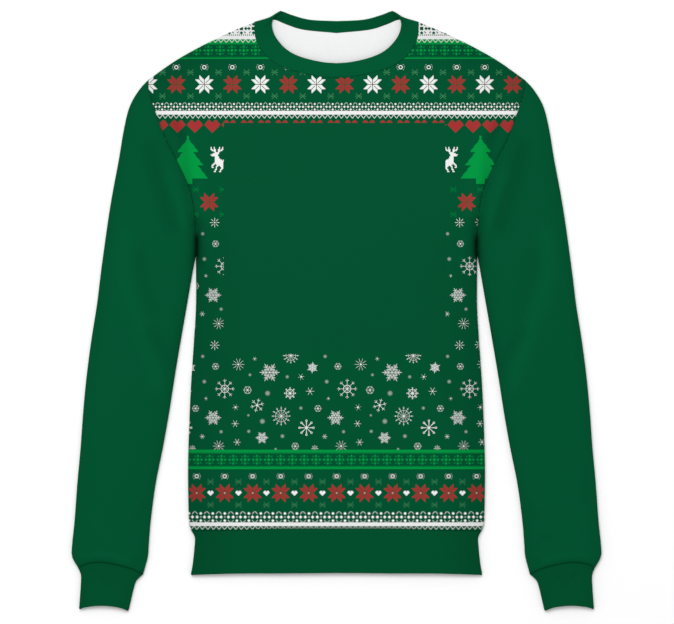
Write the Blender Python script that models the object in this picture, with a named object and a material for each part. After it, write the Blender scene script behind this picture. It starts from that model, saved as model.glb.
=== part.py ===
"""A christmas sweater, laid flat with its front up: eight sewn pieces of knitted cloth.

+X runs across the front to the wearer's left sleeve, +Y to the collar, and +Z up from the
surface that the sweater lies on. Sizes and tables are in millimetres, and the tables give the
half at +X: the other half is its mirror image. Every piece is a wall of cloth. Each point of
its outer face comes from a point of the flat outline, raised by the fold at the sweater's edge,
the air inside and the largest creases, and its inner face lies one wall further in.
"""

import bmesh
import bpy
import numpy as np

METRES = 0.001

# Cloth and sewing.
WALL = 2.6
FOLD_RADIUS = 3.2
SEAM_GAP = 0.3
CROWN_REACH = 52.0
ROLL_ANGLES = np.radians((0, 32, 64, 90))
ROLL = FOLD_RADIUS * (1 - np.cos(ROLL_ANGLES))
CREASE_FADE = 14.0

# Where seams meet the sweater's edge.
NECK_CORNER = (101.0, 361.0)
COLLAR_PEAK = (69.0, 375.0)
SHOULDER_POINT = (235.5, 288.0)
UNDERARM = (175.8, 69.0)
HEM_CORNER = (181.0, -275.0)
CUFF_OUTER_CORNER = (322.5, -321.5)
CUFF_INNER_CORNER = (241.5, -329.0)

# Edges that are folds, as rows of (across, along).
STRAP_FOLD = (COLLAR_PEAK, (76.0, 370.0), (85.0, 365.2), NECK_CORNER)
SHOULDER_FOLD = (NECK_CORNER, (143.0, 343.5), (182.0, 323.5), (207.0, 308.5), SHOULDER_POINT)
SLEEVE_CAP_FOLD = (
    SHOULDER_POINT,
    (244.5, 278.5),
    (254.5, 263.5),
    (260.8, 248.0),
    (266.5, 222.0),
    (272.0, 188.5),
    (283.0, 128.5),
)
# The sleeve's sections: along, half width to its inner fold, half width to its outer fold.
SLEEVE_SECTIONS = (
    (53.0, 179.0, 293.7),
    (8.5, 186.7, 299.2),
    (-36.5, 194.5, 306.3),
    (-81.5, 202.0, 312.2),
    (-126.5, 209.0, 316.5),
    (-171.5, 217.0, 319.8),
    (-216.5, 226.0, 323.9),
    (-261.5, 232.0, 327.2),
    (-291.5, 234.5, 330.3),
    (-307.0, 235.7, 330.4),
)
CUFF_OUTER_FOLD = (CUFF_OUTER_CORNER, (319.2, -330.0), (319.5, -345.0), (321.5, -372.7))
CUFF_INNER_FOLD = (CUFF_INNER_CORNER, (248.0, -334.8), (252.3, -342.5), (260.0, -375.0))
# The body's sections: along, half width.
BODY_SECTIONS = (
    (8.5, 175.5),
    (-36.5, 178.0),
    (-96.5, 182.0),
    (-156.5, 184.5),
    (-201.5, 185.5),
    (-261.5, 184.6),
    (-268.0, 183.6),
)
WAISTBAND_SECTIONS = (
    (-283.0, 176.8),
    (-296.5, 177.4),
    (-315.5, 179.4),
    (-330.0, 182.0),
)

# Seams and open edges, as rows of (across, along).
ARMHOLE = (
    SHOULDER_POINT,
    (234.8, 276.0),
    (228.0, 253.5),
    (213.5, 214.5),
    (200.0, 188.5),
    (186.5, 160.0),
    (180.5, 139.0),
    (177.0, 112.0),
    UNDERARM,
)
FRONT_NECK_SEAM = (
    (0.0, 291.0),
    (19.5, 292.0),
    (62.0, 302.0),
    (83.0, 315.0),
    (94.5, 328.5),
    (99.9, 344.0),
    (99.8, 356.0),
    NECK_CORNER,
)
FRONT_NECK_EDGE = (
    (0.0, 309.0),
    (19.5, 310.8),
    (44.5, 317.0),
    (62.0, 326.0),
    (74.5, 339.5),
    (80.0, 352.0),
    (79.5, 363.5),
    COLLAR_PEAK,
)
BACK_NECK_SEAM = (
    (0.0, 347.0),
    (40.5, 351.0),
    (62.0, 356.5),
    (77.0, 358.5),
    (91.0, 354.8),
    (99.2, 354.8),
    NECK_CORNER,
)
BACK_NECK_EDGE = ((0.0, 362.0), (33.0, 363.7), (57.0, 369.5), COLLAR_PEAK)
HEM_SEAM = ((0.0, -272.0), (79.0, -272.2), (130.5, -274.0), HEM_CORNER)
HEM_EDGE = ((0.0, -327.5), (70.5, -328.0), (129.0, -328.3), (182.0, -330.0))
CUFF_SEAM = (
    CUFF_OUTER_CORNER,
    (314.5, -317.0),
    (300.0, -314.2),
    (283.0, -315.5),
    (257.0, -322.0),
    CUFF_INNER_CORNER,
)
CUFF_EDGE = ((321.5, -372.7), (311.0, -370.0), (293.0, -368.5), (273.0, -370.5), (260.0, -375.0))

# How far the air inside lifts the upper cloth above its folded edge: along, rise.
BODY_LOFT = ((-330.0, 2.1), (-275.0, 2.2), (-245.0, 2.6), (60.0, 2.6), (250.0, 2.5), (375.0, 2.2))
SLEEVE_LOFT = ((-375.0, 2.4), (-322.0, 2.4), (-295.0, 3.0), (60.0, 3.0), (250.0, 2.6), (375.0, 2.2))

# The largest creases: their line, how high they stand (below 0, a trough) and half their width.
CREASES = (
    (((233.0, 201.0), (223.0, 163.5), (212.0, 129.5), (204.5, 104.5)), -1.7, 11.0),
    (((210.5, 167.0), (199.5, 138.5), (191.0, 107.0)), 1.4, 9.0),
    (((264.5, 92.0), (267.0, 51.0), (255.5, 9.5), (233.0, -51.5), (212.0, -103.0)), 1.6, 12.0),
    (((231.0, -31.0), (212.0, -58.0), (205.5, -76.0)), -1.7, 11.0),
    (((236.0, -239.0), (245.0, -257.0)), -1.0, 9.0),
    (((317.0, -196.0), (314.0, -232.0)), -0.9, 10.0),
    (((175.8, 112.0), (175.8, 88.0), (175.8, 70.0)), -2.0, 8.0),
    (((202.0, 228.5), (190.0, 215.0)), -1.0, 8.0),
    (((182.0, 222.0), (170.0, 158.0), (166.0, 120.0)), 0.9, 9.0),
    (((162.0, 84.5), (157.0, 62.0)), 0.9, 8.0),
    (((137.0, -70.0), (146.0, -122.0)), -0.8, 14.0),
    (((305.0, -326.0), (294.0, -334.0), (282.0, -342.0)), -0.9, 5.0),
    (((284.0, -327.0), (271.0, -338.0), (258.0, -354.0)), -0.9, 5.0),
)

# How near a seam sets the way that the walls lean: wholly, and no longer at all.
SEAM_HOLD = (1.0, 8.0)

# Cells of the walls.
NECK_CELLS = 7
SHOULDER_CELLS = 5
ARMHOLE_CELLS = 9
SIDE_CELLS = 9
HEM_SHARE_OF_NECK = 0.6
NECK_SPREAD = 120.0
SLEEVE_CELLS = 18
CUFF_CELLS = 4
WAISTBAND_CELLS = 4
COLLAR_CELLS = 3
FLAT_ANGLE = np.radians(0.05)
SHARP_ANGLE = np.radians(40)
LINE_STEPS = 24
SLOPE_STEP = 0.4
HAIR = 0.01

GROUND_GREEN = (0.002, 0.093, 0.032, 1.0)
RIB_GREEN = (0.002, 0.080, 0.027, 1.0)


def smooth(points):
    """A Catmull-Rom line through the points."""
    knots = np.array(points, float)
    first, last = 2 * knots[0] - knots[1], 2 * knots[-1] - knots[-2]
    knots = np.vstack([first, knots, last])
    t = np.linspace(0, 1, LINE_STEPS, endpoint=False)[:, None]
    spans = []
    for a, b, c, d in zip(knots, knots[1:], knots[2:], knots[3:]):
        bend = (2 * a - 5 * b + 4 * c - d) * t**2 + (3 * b - a - 3 * c + d) * t**3
        spans.append(b + 0.5 * ((c - a) * t + bend))
    return np.vstack(spans + [knots[-2:-1]])


def length_of(line):
    return np.linalg.norm(np.diff(line, axis=0), axis=1).sum()


def along(line, fractions):
    """The points at these fractions of a line's length."""
    reached = np.concatenate([[0], np.cumsum(np.linalg.norm(np.diff(line, axis=0), axis=1))])
    return np.stack([np.interp(fractions, reached / reached[-1], c) for c in line.T], axis=1)


def stations(length, cells, fold_first=False, fold_last=False):
    """Fractions of a length: even cells, with finer ones round a fold at either end."""
    first = ROLL if fold_first else np.zeros(1)
    last = (length - ROLL)[::-1] if fold_last else np.full(1, length)
    even = np.linspace(first[-1], last[0], cells + 1)
    return np.concatenate([first[:-1], even, last[1:]]) / length


# The folds, each one smooth line. The body's and the sleeve's start half a seam apart.
BODY_SIDE = smooth(
    [(UNDERARM[0] - SEAM_GAP / 2, UNDERARM[1])]
    + [(half_width, y) for y, half_width in BODY_SECTIONS]
    + [HEM_CORNER]
)
WAISTBAND_SIDE = smooth([HEM_CORNER] + [(half_width, y) for y, half_width in WAISTBAND_SECTIONS])
SLEEVE_INNER = smooth(
    [(UNDERARM[0] + SEAM_GAP / 2, UNDERARM[1])]
    + [(inner, y) for y, inner, outer in SLEEVE_SECTIONS]
    + [CUFF_INNER_CORNER]
)
SLEEVE_OUTER = smooth(
    list(SLEEVE_CAP_FOLD)
    + [(outer, y) for y, inner, outer in SLEEVE_SECTIONS]
    + [CUFF_OUTER_CORNER]
)
STRAP, SHOULDER = smooth(STRAP_FOLD), smooth(SHOULDER_FOLD)
CUFF_OUTER, CUFF_INNER = smooth(CUFF_OUTER_FOLD), smooth(CUFF_INNER_FOLD)
TOP_FOLD = np.vstack([STRAP, SHOULDER[1:], SLEEVE_OUTER[1:], CUFF_OUTER[1:]])
SIDE_FOLD = np.vstack([BODY_SIDE, WAISTBAND_SIDE[1:]])
ARM_FOLD = np.vstack([SLEEVE_INNER, CUFF_INNER[1:]])


SEAMS = {
    "front neck": smooth(FRONT_NECK_SEAM),
    "back neck": smooth(BACK_NECK_SEAM),
    "armhole": smooth(ARMHOLE),
    "hem": smooth(HEM_SEAM),
    "cuff": smooth(CUFF_SEAM),
}
BODY = ((TOP_FOLD, SIDE_FOLD), np.array(BODY_LOFT))
SLEEVE = ((TOP_FOLD, ARM_FOLD), np.array(SLEEVE_LOFT))
CREASE_LINES = [(smooth(line), height, width) for line, height, width in CREASES]


def nearest(points, line):
    """How far each point is from a line, the line's nearest point, and its piece there."""
    start, step = line[:-1], np.diff(line, axis=0)
    offset = points[:, None] - start
    share = (offset * step).sum(2) / (step**2).sum(1)
    foot = start + np.clip(share, 0, 1)[..., None] * step
    gaps = np.linalg.norm(points[:, None] - foot, axis=2)
    best = gaps.argmin(1)
    rows = np.arange(len(points))
    return gaps[rows, best], foot[rows, best], best


def on_the_half(points):
    """The points moved to the half that the tables give, and which were moved."""
    flipped = points[:, 0] < 0
    return np.where(flipped[:, None], points * (-1, 1), points), flipped


def rise(points, folds, loft):
    """How far the upper cloth stands above the top of its folded edge."""
    points, _ = on_the_half(points)
    gaps = [nearest(points, fold)[0] + HAIR for fold in folds]
    inward = sum(gap**-2 for gap in gaps) ** -0.5
    share = 1 - (1 - np.minimum(inward / CROWN_REACH, 1)) ** 2
    heights = np.interp(points[:, 1], *loft.T) * share
    fade = 1 - np.exp(-((inward / CREASE_FADE) ** 2))
    for line, height, width in CREASE_LINES:
        gap = nearest(points, line)[0]
        heights = heights + height * fade * np.exp(-((gap / width) ** 2))
    return heights


def fold_edge(plan, folds, seams):
    """How far a grid's points are from their nearest fold, the way to it, and the seams' hold.

    Beside a seam the way runs along it, so that the walls on its two sides stay apart.
    """
    points, flipped = on_the_half(plan.reshape(-1, 2))
    inside, _ = on_the_half(a_hair_inside(plan).reshape(-1, 2))
    looks = [nearest(inside, fold) for fold in folds]
    choice = np.argmin([gap for gap, _, _ in looks], axis=0)
    gap = np.choose(choice, [nearest(points, fold)[0] for fold in folds])
    foot = np.choose(choice[:, None], [foot for _, foot, _ in looks])
    hold, along_seam = seam_hold(points, seams)
    way = unit(hold * along_seam + (1 - hold) * unit(foot - inside))
    mirror = np.where(flipped[:, None], (-1, 1), (1, 1))
    return gap, way * mirror, hold, along_seam * mirror


def seam_hold(points, names):
    """How firmly the nearest seam holds each point, and the way along it to a fold."""
    hold, way = np.zeros((len(points), 1)), np.zeros_like(points)
    for line in (SEAMS[name] for name in names):
        gap, _, piece = nearest(points, line)
        share = np.interp(gap, SEAM_HOLD, (1, 0))[:, None]
        outwards = np.where(piece < len(line) / 2, -1, 1)[:, None]
        outwards = outwards * unit(np.diff(line, axis=0))[piece]
        way = np.where(share > hold, outwards, way)
        hold = np.maximum(share, hold)
    return hold, way


def a_hair_inside(plan):
    """Each point of a grid moved slightly inwards, between the ways to its neighbours."""
    padded = np.pad(plan, ((1, 1), (1, 1), (0, 0)), mode="edge")
    beside = (padded[2:, 1:-1], padded[:-2, 1:-1], padded[1:-1, 2:], padded[1:-1, :-2])
    ways = sum(unit(point - plan) for point in beside)
    return plan + HAIR * unit(ways)


def unit(vectors):
    """The vectors with a length of 1, or 0 where they have none."""
    size = np.linalg.norm(vectors, axis=-1, keepdims=True)
    return vectors / np.where(size > 1e-9, size, np.inf)


def upper_wall(plan, region, seams, lift=0.0):
    """The outer and inner points of the cloth on top, from its grid of flat points."""
    points = plan.reshape(-1, 2)
    gap, way, hold, along_seam = fold_edge(plan, region[0], seams)
    lean = np.clip((FOLD_RADIUS - gap) / FOLD_RADIUS, 0, 1)[:, None]
    upright = np.sqrt(1 - lean**2)
    height = FOLD_RADIUS * (1 + upright[:, 0]) + lift + rise(points, *region)
    steps = np.array(((SLOPE_STEP, 0), (0, SLOPE_STEP)))
    rises = [rise(points + step, *region) - rise(points - step, *region) for step in steps]
    slope = np.stack(rises, axis=1) / (2 * SLOPE_STEP)
    held = (slope * along_seam).sum(1, keepdims=True) * along_seam
    slope = hold * held + (1 - hold) * slope
    normal = unit(np.hstack([way * lean - upright * slope, upright]))
    outer = np.hstack([points, height[:, None]])
    return as_grids(plan, outer, outer - WALL * normal)


def lower_wall(plan, region, seams, drop=0.0):
    """The outer and inner points of the cloth that lies on the surface."""
    gap, way, _, _ = fold_edge(plan, region[0], seams)
    lean = np.clip((FOLD_RADIUS - gap) / FOLD_RADIUS, 0, 1)[:, None]
    upright = np.sqrt(1 - lean**2)
    outer = np.hstack([plan.reshape(-1, 2), (FOLD_RADIUS - drop) * (1 - upright)])
    return as_grids(plan, outer, outer - WALL * np.hstack([way * lean, -upright]))


def as_grids(plan, outer, inner):
    return outer.reshape(*plan.shape[:2], 3), inner.reshape(*plan.shape[:2], 3)


def patch(top, bottom, first, last):
    """A grid of flat points between four lines (Coons): rows run from top to bottom."""
    across = 0.5 * (shares(top) + shares(bottom))[None, :, None]
    down = 0.5 * (shares(first) + shares(last))[:, None, None]
    between_rows = (1 - down) * top[None] + down * bottom[None]
    between_ends = (1 - across) * first[:, None] + across * last[:, None]
    corners = (1 - down) * ((1 - across) * top[0] + across * top[-1])
    corners = corners + down * ((1 - across) * bottom[0] + across * bottom[-1])
    return between_rows + between_ends - corners


def shares(line):
    """The fraction of the line's length that each of its points has reached."""
    reached = np.concatenate([[0], np.cumsum(np.linalg.norm(np.diff(line, axis=0), axis=1))])
    return reached / reached[-1]


def eased(line, beside, first_on_fold=None, last_on_fold=None):
    """A seam's line drawn in by half the gap, towards the line beside it.

    An end that lies on a fold moves along that fold, to the point given for it.
    """
    run = unit(np.gradient(line, axis=0))
    across = np.stack([-run[:, 1], run[:, 0]], axis=1)
    across *= np.sign(((beside - line) * across).sum())
    ways = across.copy()
    if first_on_fold is not None:
        ways[0] = first_on_fold - line[0]
    if last_on_fold is not None:
        ways[-1] = last_on_fold - line[-1]
    return line + SEAM_GAP / 2 * ways / (ways * across).sum(1, keepdims=True)


def both_halves(plan):
    """A grid from the centre line to a fold, with its mirror image before it."""
    return np.concatenate([plan[:, :0:-1] * (-1, 1), plan], axis=1)


def quads(grid, around):
    """The cells of a grid of vertex numbers, as faces."""
    columns = range(grid.shape[1] if around else grid.shape[1] - 1)
    for r in range(grid.shape[0] - 1):
        for c in columns:
            d = (c + 1) % grid.shape[1]
            yield grid[r, c], grid[r, d], grid[r + 1, d], grid[r + 1, c]


def wall_object(name, outer, inner, around, color, mirrored=False):
    """A closed wall between two grids of points, open-ended if it goes around."""
    rows, columns = outer.shape[:2]
    points = np.vstack([outer.reshape(-1, 3), inner.reshape(-1, 3)]) * METRES
    if mirrored:
        points = points * (-1, 1, 1)
    outside = np.arange(rows * columns).reshape(rows, columns)
    inside = outside + rows * columns
    rims = [np.stack([outside[0], inside[0]]), np.stack([outside[-1], inside[-1]])]
    if not around:
        rims += [np.stack([outside[:, k], inside[:, k]]) for k in (0, -1)]
    mesh = bpy.data.meshes.new(name)
    shape = bmesh.new()
    corners = [shape.verts.new(point) for point in points]
    for grid in [outside, inside]:
        for face in quads(grid, around):
            shape.faces.new([corners[k] for k in face])
    for rim, grid in enumerate(rims):
        for face in quads(grid, around and rim < 2):
            shape.faces.new([corners[k] for k in face])
    bmesh.ops.recalc_face_normals(shape, faces=shape.faces)
    bmesh.ops.dissolve_limit(
        shape, angle_limit=FLAT_ANGLE, verts=shape.verts, edges=shape.edges, delimit={"NORMAL"}
    )
    shape.to_mesh(mesh)
    shape.free()
    mesh.shade_smooth()
    mesh.set_sharp_from_angle(angle=SHARP_ANGLE)
    piece = bpy.data.objects.new(name, mesh)
    bpy.context.scene.collection.objects.link(piece)
    mesh.materials.append(knit(name, color))
    return piece


def knit(name, color):
    material = bpy.data.materials.new(name)
    material.use_nodes = True
    shader = material.node_tree.nodes["Principled BSDF"]
    shader.inputs["Base Color"].default_value = color
    shader.inputs["Roughness"].default_value = 0.9
    shader.inputs["Metallic"].default_value = 0.0
    return material


def tube_object(name, front, back, region, seams, color, mirrored=False):
    """A flattened tube: a grid on top and one below, which share their folded sides."""
    top = upper_wall(front, region, seams[0])
    bottom = lower_wall(back, region, seams[1])
    outer, inner = (np.concatenate([t, b[:, -2:0:-1]], axis=1) for t, b in zip(top, bottom))
    return wall_object(name, outer, inner, True, color, mirrored)


def crossing_points(line):
    """The points of a line that runs across an arm's tube, from fold to fold."""
    return along(line, stations(length_of(line), ARMHOLE_CELLS, True, True))


def neck_points(line):
    return along(line, stations(length_of(line), NECK_CELLS, fold_last=True))


def hem_points(line):
    """Points under the neck's, evenly spaced, and then under the shoulder's."""
    length = length_of(line)
    inner = HEM_SHARE_OF_NECK * length
    count = len(neck_points(line))
    outer = stations(length - inner, SHOULDER_CELLS, fold_last=True) * (length - inner)
    return along(line, np.concatenate([np.linspace(0, inner, count), inner + outer[1:]]) / length)


def body_plan(neck_seam):
    """The flat grid of one half of a body panel, and where its neck and armhole end."""
    neck = neck_points(neck_seam)
    shoulder = along(SHOULDER, stations(length_of(SHOULDER), SHOULDER_CELLS, fold_last=True))
    top = np.vstack([neck, shoulder[1:]])
    bottom = hem_points(SEAMS["hem"])
    side = along(BODY_SIDE, stations(length_of(BODY_SIDE), SIDE_CELLS))
    armhole = crossing_points(SEAMS["armhole"])
    edge = np.vstack([armhole[:-1], side])
    share = (edge[0, 1] - edge[:, 1]) / (edge[0, 1] - edge[-1, 1])
    middle = top[0] + share[:, None] * (bottom[0] - top[0])
    plan = patch(top, bottom, middle, edge)
    steepness = unit(np.gradient(neck, axis=0))[:, 1]
    sideways = np.concatenate([steepness, steepness[-1] * (1 - shares(shoulder)[1:])])
    plan[..., 0] += NECK_SPREAD * np.outer(share * (1 - share) ** 2, sideways)
    return plan, len(neck), len(armhole)


def body_panel(name, neck, wall, **shift):
    """A front or back panel: neck, armholes and hem are drawn in from their seams."""
    plan, neck_end, armhole_end = body_plan(SEAMS[neck])
    neck_line = eased(plan[0, :neck_end], plan[1, :neck_end], None, plan[0, neck_end])
    armhole_line = eased(plan[:armhole_end, -1], plan[:armhole_end, -2], plan[0, -2])
    hem_line = eased(plan[-1], plan[-2], None, plan[-2, -1])
    plan[0, :neck_end], plan[-1] = neck_line, hem_line
    plan[: armhole_end - 1, -1] = armhole_line[:-1]
    outer, inner = wall(both_halves(plan), BODY, (neck, "armhole", "hem"), **shift)
    return wall_object(name, outer, inner, False, GROUND_GREEN)


def sleeve(name, mirrored):
    """A sleeve: its rings run from the armhole to the cuff's seam."""
    top, bottom = crossing_points(SEAMS["armhole"]), crossing_points(SEAMS["cuff"])
    rows = np.linspace(0, 1, SLEEVE_CELLS + 1)
    plan = patch(top, bottom, along(SLEEVE_OUTER, rows), along(SLEEVE_INNER, rows))
    plan[0] = eased(plan[0], plan[1], plan[1, 0], plan[1, -1])
    plan[-1] = eased(plan[-1], plan[-2], plan[-2, 0], plan[-2, -1])
    seams = ("armhole", "cuff")
    return tube_object(name, plan, plan, SLEEVE, (seams, seams), GROUND_GREEN, mirrored)


def cuff(name, mirrored):
    top, bottom = crossing_points(SEAMS["cuff"]), crossing_points(smooth(CUFF_EDGE))
    rows = np.linspace(0, 1, CUFF_CELLS + 1)
    plan = patch(top, bottom, along(CUFF_OUTER, rows), along(CUFF_INNER, rows))
    plan[0] = eased(plan[0], plan[1], plan[1, 0], plan[1, -1])
    seams = ("cuff",)
    return tube_object(name, plan, plan, SLEEVE, (seams, seams), RIB_GREEN, mirrored)


def band_plan(top, bottom, fold, cells):
    """The grid of a band that crosses the centre line, from its seam to its open edge."""
    rows = np.linspace(0, 1, cells + 1)
    middle = np.linspace(top[0], bottom[0], cells + 1)
    plan = patch(top, bottom, middle, along(fold, rows))
    plan[0] = eased(plan[0], plan[1], None, plan[1, -1])
    return both_halves(plan)


def waistband():
    top, bottom = hem_points(SEAMS["hem"]), hem_points(smooth(HEM_EDGE))
    plan = band_plan(top, bottom, WAISTBAND_SIDE, WAISTBAND_CELLS)
    seams = ("hem",)
    return tube_object("waistband", plan, plan, BODY, (seams, seams), RIB_GREEN)


def neck_rib():
    """The collar: its front band lies on its back band, folded at the shoulders."""
    front, back = (
        band_plan(neck_points(SEAMS[seam]), neck_points(smooth(edge)), STRAP[::-1], COLLAR_CELLS)
        for seam, edge in (("front neck", FRONT_NECK_EDGE), ("back neck", BACK_NECK_EDGE))
    )
    seams = (("front neck",), ("back neck",))
    return tube_object("neck_rib", front, back, BODY, seams, RIB_GREEN)


def main():
    for old in list(bpy.data.objects):
        bpy.data.objects.remove(old)
    body_panel("front_panel", "front neck", upper_wall, lift=SEAM_GAP / 2)
    body_panel("back_panel", "back neck", lower_wall, drop=SEAM_GAP / 2)
    for side, mirrored in (("left", False), ("right", True)):
        sleeve(f"{side}_sleeve", mirrored)
        cuff(f"{side}_cuff", mirrored)
    waistband()
    neck_rib()


main()
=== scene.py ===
"""A christmas sweater, laid flat with its front up: its knitted cloth, print, ribs and seams.

+X runs across the front to the wearer's left sleeve, +Y to the collar, and +Z up from the
surface that the sweater lies on. Sizes and tables are in millimetres, and the tables give the
half at +X: the other half is its mirror image, with slightly different creases.
"""

import bpy
import numpy as np
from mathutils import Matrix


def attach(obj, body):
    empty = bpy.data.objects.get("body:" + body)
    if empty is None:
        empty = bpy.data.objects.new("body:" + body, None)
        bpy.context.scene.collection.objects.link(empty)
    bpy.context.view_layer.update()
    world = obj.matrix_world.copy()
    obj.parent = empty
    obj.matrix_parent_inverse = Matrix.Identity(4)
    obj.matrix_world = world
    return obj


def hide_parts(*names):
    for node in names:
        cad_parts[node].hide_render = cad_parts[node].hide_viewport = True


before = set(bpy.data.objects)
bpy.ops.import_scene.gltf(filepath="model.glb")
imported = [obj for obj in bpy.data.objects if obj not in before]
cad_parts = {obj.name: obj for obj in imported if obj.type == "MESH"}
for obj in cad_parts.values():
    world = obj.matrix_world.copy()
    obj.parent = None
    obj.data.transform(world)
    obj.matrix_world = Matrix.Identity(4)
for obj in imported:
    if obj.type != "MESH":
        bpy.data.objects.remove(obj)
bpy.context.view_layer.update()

METRES, MILLIMETRES = 0.001, 1000.0

# Cloth and sewing. The air lifts the cloth less and less from CROWN_REACH to a fold, and creases
# fade out over CREASE_FADE beside one.
WALL, FOLD_RADIUS, SEAM_GAP = 2.6, 3.2, 0.3
CROWN_REACH, CREASE_FADE = 46.0, 14.0
RIB_PITCH, RIB_HEIGHT = 2.4, 0.16
THREAD, THREAD_PITCH, THREAD_LENGTH, THREAD_SINK = 0.42, 2.8, 2.0, 0.15
TOPSTITCH_ROW, TOPSTITCH_SINK = 4, 0.05

# Where seams meet the sweater's edge.
NECK_CORNER = (102.6, 360.8)
COLLAR_PEAK = (69.0, 375.0)
SHOULDER_POINT = (235.5, 288.0)
UNDERARM = (175.8, 69.0)
HEM_CORNER = (181.0, -275.0)
CUFF_OUTER_CORNER = (322.5, -321.5)
CUFF_INNER_CORNER = (241.5, -329.0)

# Edges that are folds, as rows of (across, along).
STRAP_FOLD = (COLLAR_PEAK, (75.4, 371.6), (84.5, 366.2), NECK_CORNER)
SHOULDER_FOLD = (NECK_CORNER, (143.0, 343.5), (182.0, 323.5), (207.0, 308.5), SHOULDER_POINT)
SLEEVE_CAP_FOLD = (
    SHOULDER_POINT, (244.5, 278.5), (254.5, 263.5), (260.8, 248.0), (266.5, 222.0),
    (272.0, 188.5), (283.0, 128.5),
)
# The sleeve's sections: along, half width to its inner fold, half width to its outer fold.
SLEEVE_SECTIONS = (
    (53.0, 179.0, 293.7), (8.5, 186.7, 299.2), (-36.5, 194.5, 306.3), (-81.5, 202.0, 312.2),
    (-126.5, 209.0, 316.5), (-171.5, 217.0, 319.8), (-216.5, 226.0, 323.9),
    (-261.5, 232.0, 327.2), (-291.5, 234.5, 330.3), (-307.0, 235.7, 330.4),
)
CUFF_OUTER_FOLD = (CUFF_OUTER_CORNER, (319.2, -330.0), (319.5, -345.0), (321.5, -372.7))
CUFF_INNER_FOLD = (CUFF_INNER_CORNER, (248.0, -334.8), (252.3, -342.5), (260.0, -375.0))
# The body's sections: along, half width.
BODY_SECTIONS = (
    (8.5, 175.5), (-36.5, 178.0), (-96.5, 182.0), (-156.5, 184.5), (-201.5, 185.5),
    (-261.5, 184.6), (-268.0, 183.6),
)
WAISTBAND_SECTIONS = (
    (-283.0, 176.8), (-296.5, 177.4), (-315.5, 179.4), (-330.0, 182.0),
)

# Seams and open edges, as rows of (across, along).
ARMHOLE = (
    SHOULDER_POINT, (234.8, 276.0), (228.0, 253.5), (213.5, 214.5), (200.0, 188.5),
    (186.5, 160.0), (180.5, 139.0), (177.0, 112.0), UNDERARM,
)
FRONT_NECK_SEAM = (
    (0.0, 291.0), (19.5, 292.0), (62.0, 302.0), (84.3, 315.0), (95.9, 328.5), (101.8, 343.0),
    (102.5, 354.5), NECK_CORNER,
)
FRONT_NECK_EDGE = (
    (0.0, 309.0), (19.5, 310.8), (44.5, 317.0), (62.0, 326.0), (74.5, 339.5), (80.0, 352.0),
    (79.5, 363.5), COLLAR_PEAK,
)
BACK_NECK_SEAM = (
    (0.0, 347.0), (40.5, 351.0), (62.0, 357.5), (75.0, 363.0), (83.0, 364.0), (92.0, 361.2),
    (98.5, 359.4), NECK_CORNER,
)
BACK_NECK_EDGE = ((0.0, 362.0), (33.0, 363.7), (56.0, 369.7), COLLAR_PEAK)
HEM_SEAM = ((0.0, -272.0), (79.0, -272.2), (130.5, -274.0), HEM_CORNER)
HEM_EDGE = ((0.0, -327.5), (70.5, -328.0), (129.0, -328.3), (182.0, -330.0))
CUFF_SEAM = (
    CUFF_OUTER_CORNER, (314.5, -317.0), (300.0, -314.2), (283.0, -315.5), (257.0, -322.0),
    CUFF_INNER_CORNER,
)
CUFF_EDGE = ((321.5, -372.7), (311.0, -370.0), (293.0, -368.5), (273.0, -370.5), (260.0, -375.0))

# How far the air inside lifts the upper cloth above its folded edge: along, rise.
BODY_LOFT = ((-330.0, 2.1), (-275.0, 2.4), (-245.0, 3.4), (60.0, 3.6), (250.0, 3.0), (375.0, 2.2))
SLEEVE_LOFT = ((-375.0, 2.6), (-335.0, 3.7), (-300.0, 5.0), (60.0, 5.0), (250.0, 4.0), (375.0, 2.2))

# Creases of the upper cloth: their line, how high they stand (below 0, a trough), half their
# width, and the share of that height which the creases on the other half have.
CREASES = (
    (((233.0, 201.0), (223.0, 163.5), (212.0, 129.5), (204.5, 104.5)), -2.2, 11.0, 0.9),
    (((210.5, 167.0), (199.5, 138.5), (191.0, 107.0)), 1.6, 8.0, 1.1),
    (((189.0, 155.0), (184.5, 134.0), (182.0, 113.0)), -1.0, 5.0, 1.0),
    (((264.5, 92.0), (267.0, 51.0), (255.5, 9.5), (233.0, -51.5), (212.0, -103.0)), 1.9, 12.0, 0.85),
    (((246.0, 66.0), (241.0, 30.0), (228.0, -2.0)), -0.8, 10.0, 1.2),
    (((231.0, -31.0), (212.0, -58.0), (205.5, -76.0)), -1.9, 10.0, 1.0),
    (((224.0, -116.0), (212.0, -131.0)), -0.8, 7.0, 1.3),
    (((236.0, -239.0), (245.0, -257.0)), -1.3, 8.0, 0.9),
    (((317.0, -196.0), (314.0, -232.0)), -1.1, 9.0, 1.1),
    (((262.0, -284.0), (243.0, -295.0)), -0.7, 7.0, 0.8),
    (((300.0, -262.0), (285.0, -290.0)), 0.6, 9.0, 0.6),
    (((175.8, 104.0), (175.8, 86.0), (175.8, 70.0)), -1.5, 7.0, 1.0),
    (((202.0, 228.5), (190.0, 215.0)), -1.2, 7.0, 1.0),
    (((182.0, 222.0), (170.0, 158.0), (166.0, 120.0)), 1.1, 9.0, 0.9),
    (((162.0, 84.5), (157.0, 62.0)), 1.0, 8.0, 1.0),
    (((137.0, -70.0), (146.0, -122.0)), -0.9, 14.0, 0.9),
    (((305.0, -326.0), (294.0, -334.0), (282.0, -342.0)), -0.9, 4.5, 1.0),
    (((284.0, -327.0), (271.0, -338.0), (258.0, -354.0)), -0.9, 4.5, 0.8),
    (((252.0, -315.0), (247.0, -317.0)), -1.2, 6.0, 1.0),
    (((318.0, -310.0), (300.0, -306.0), (283.0, -307.5), (258.0, -313.5)), 1.2, 4.5, 1.0),
)
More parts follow.
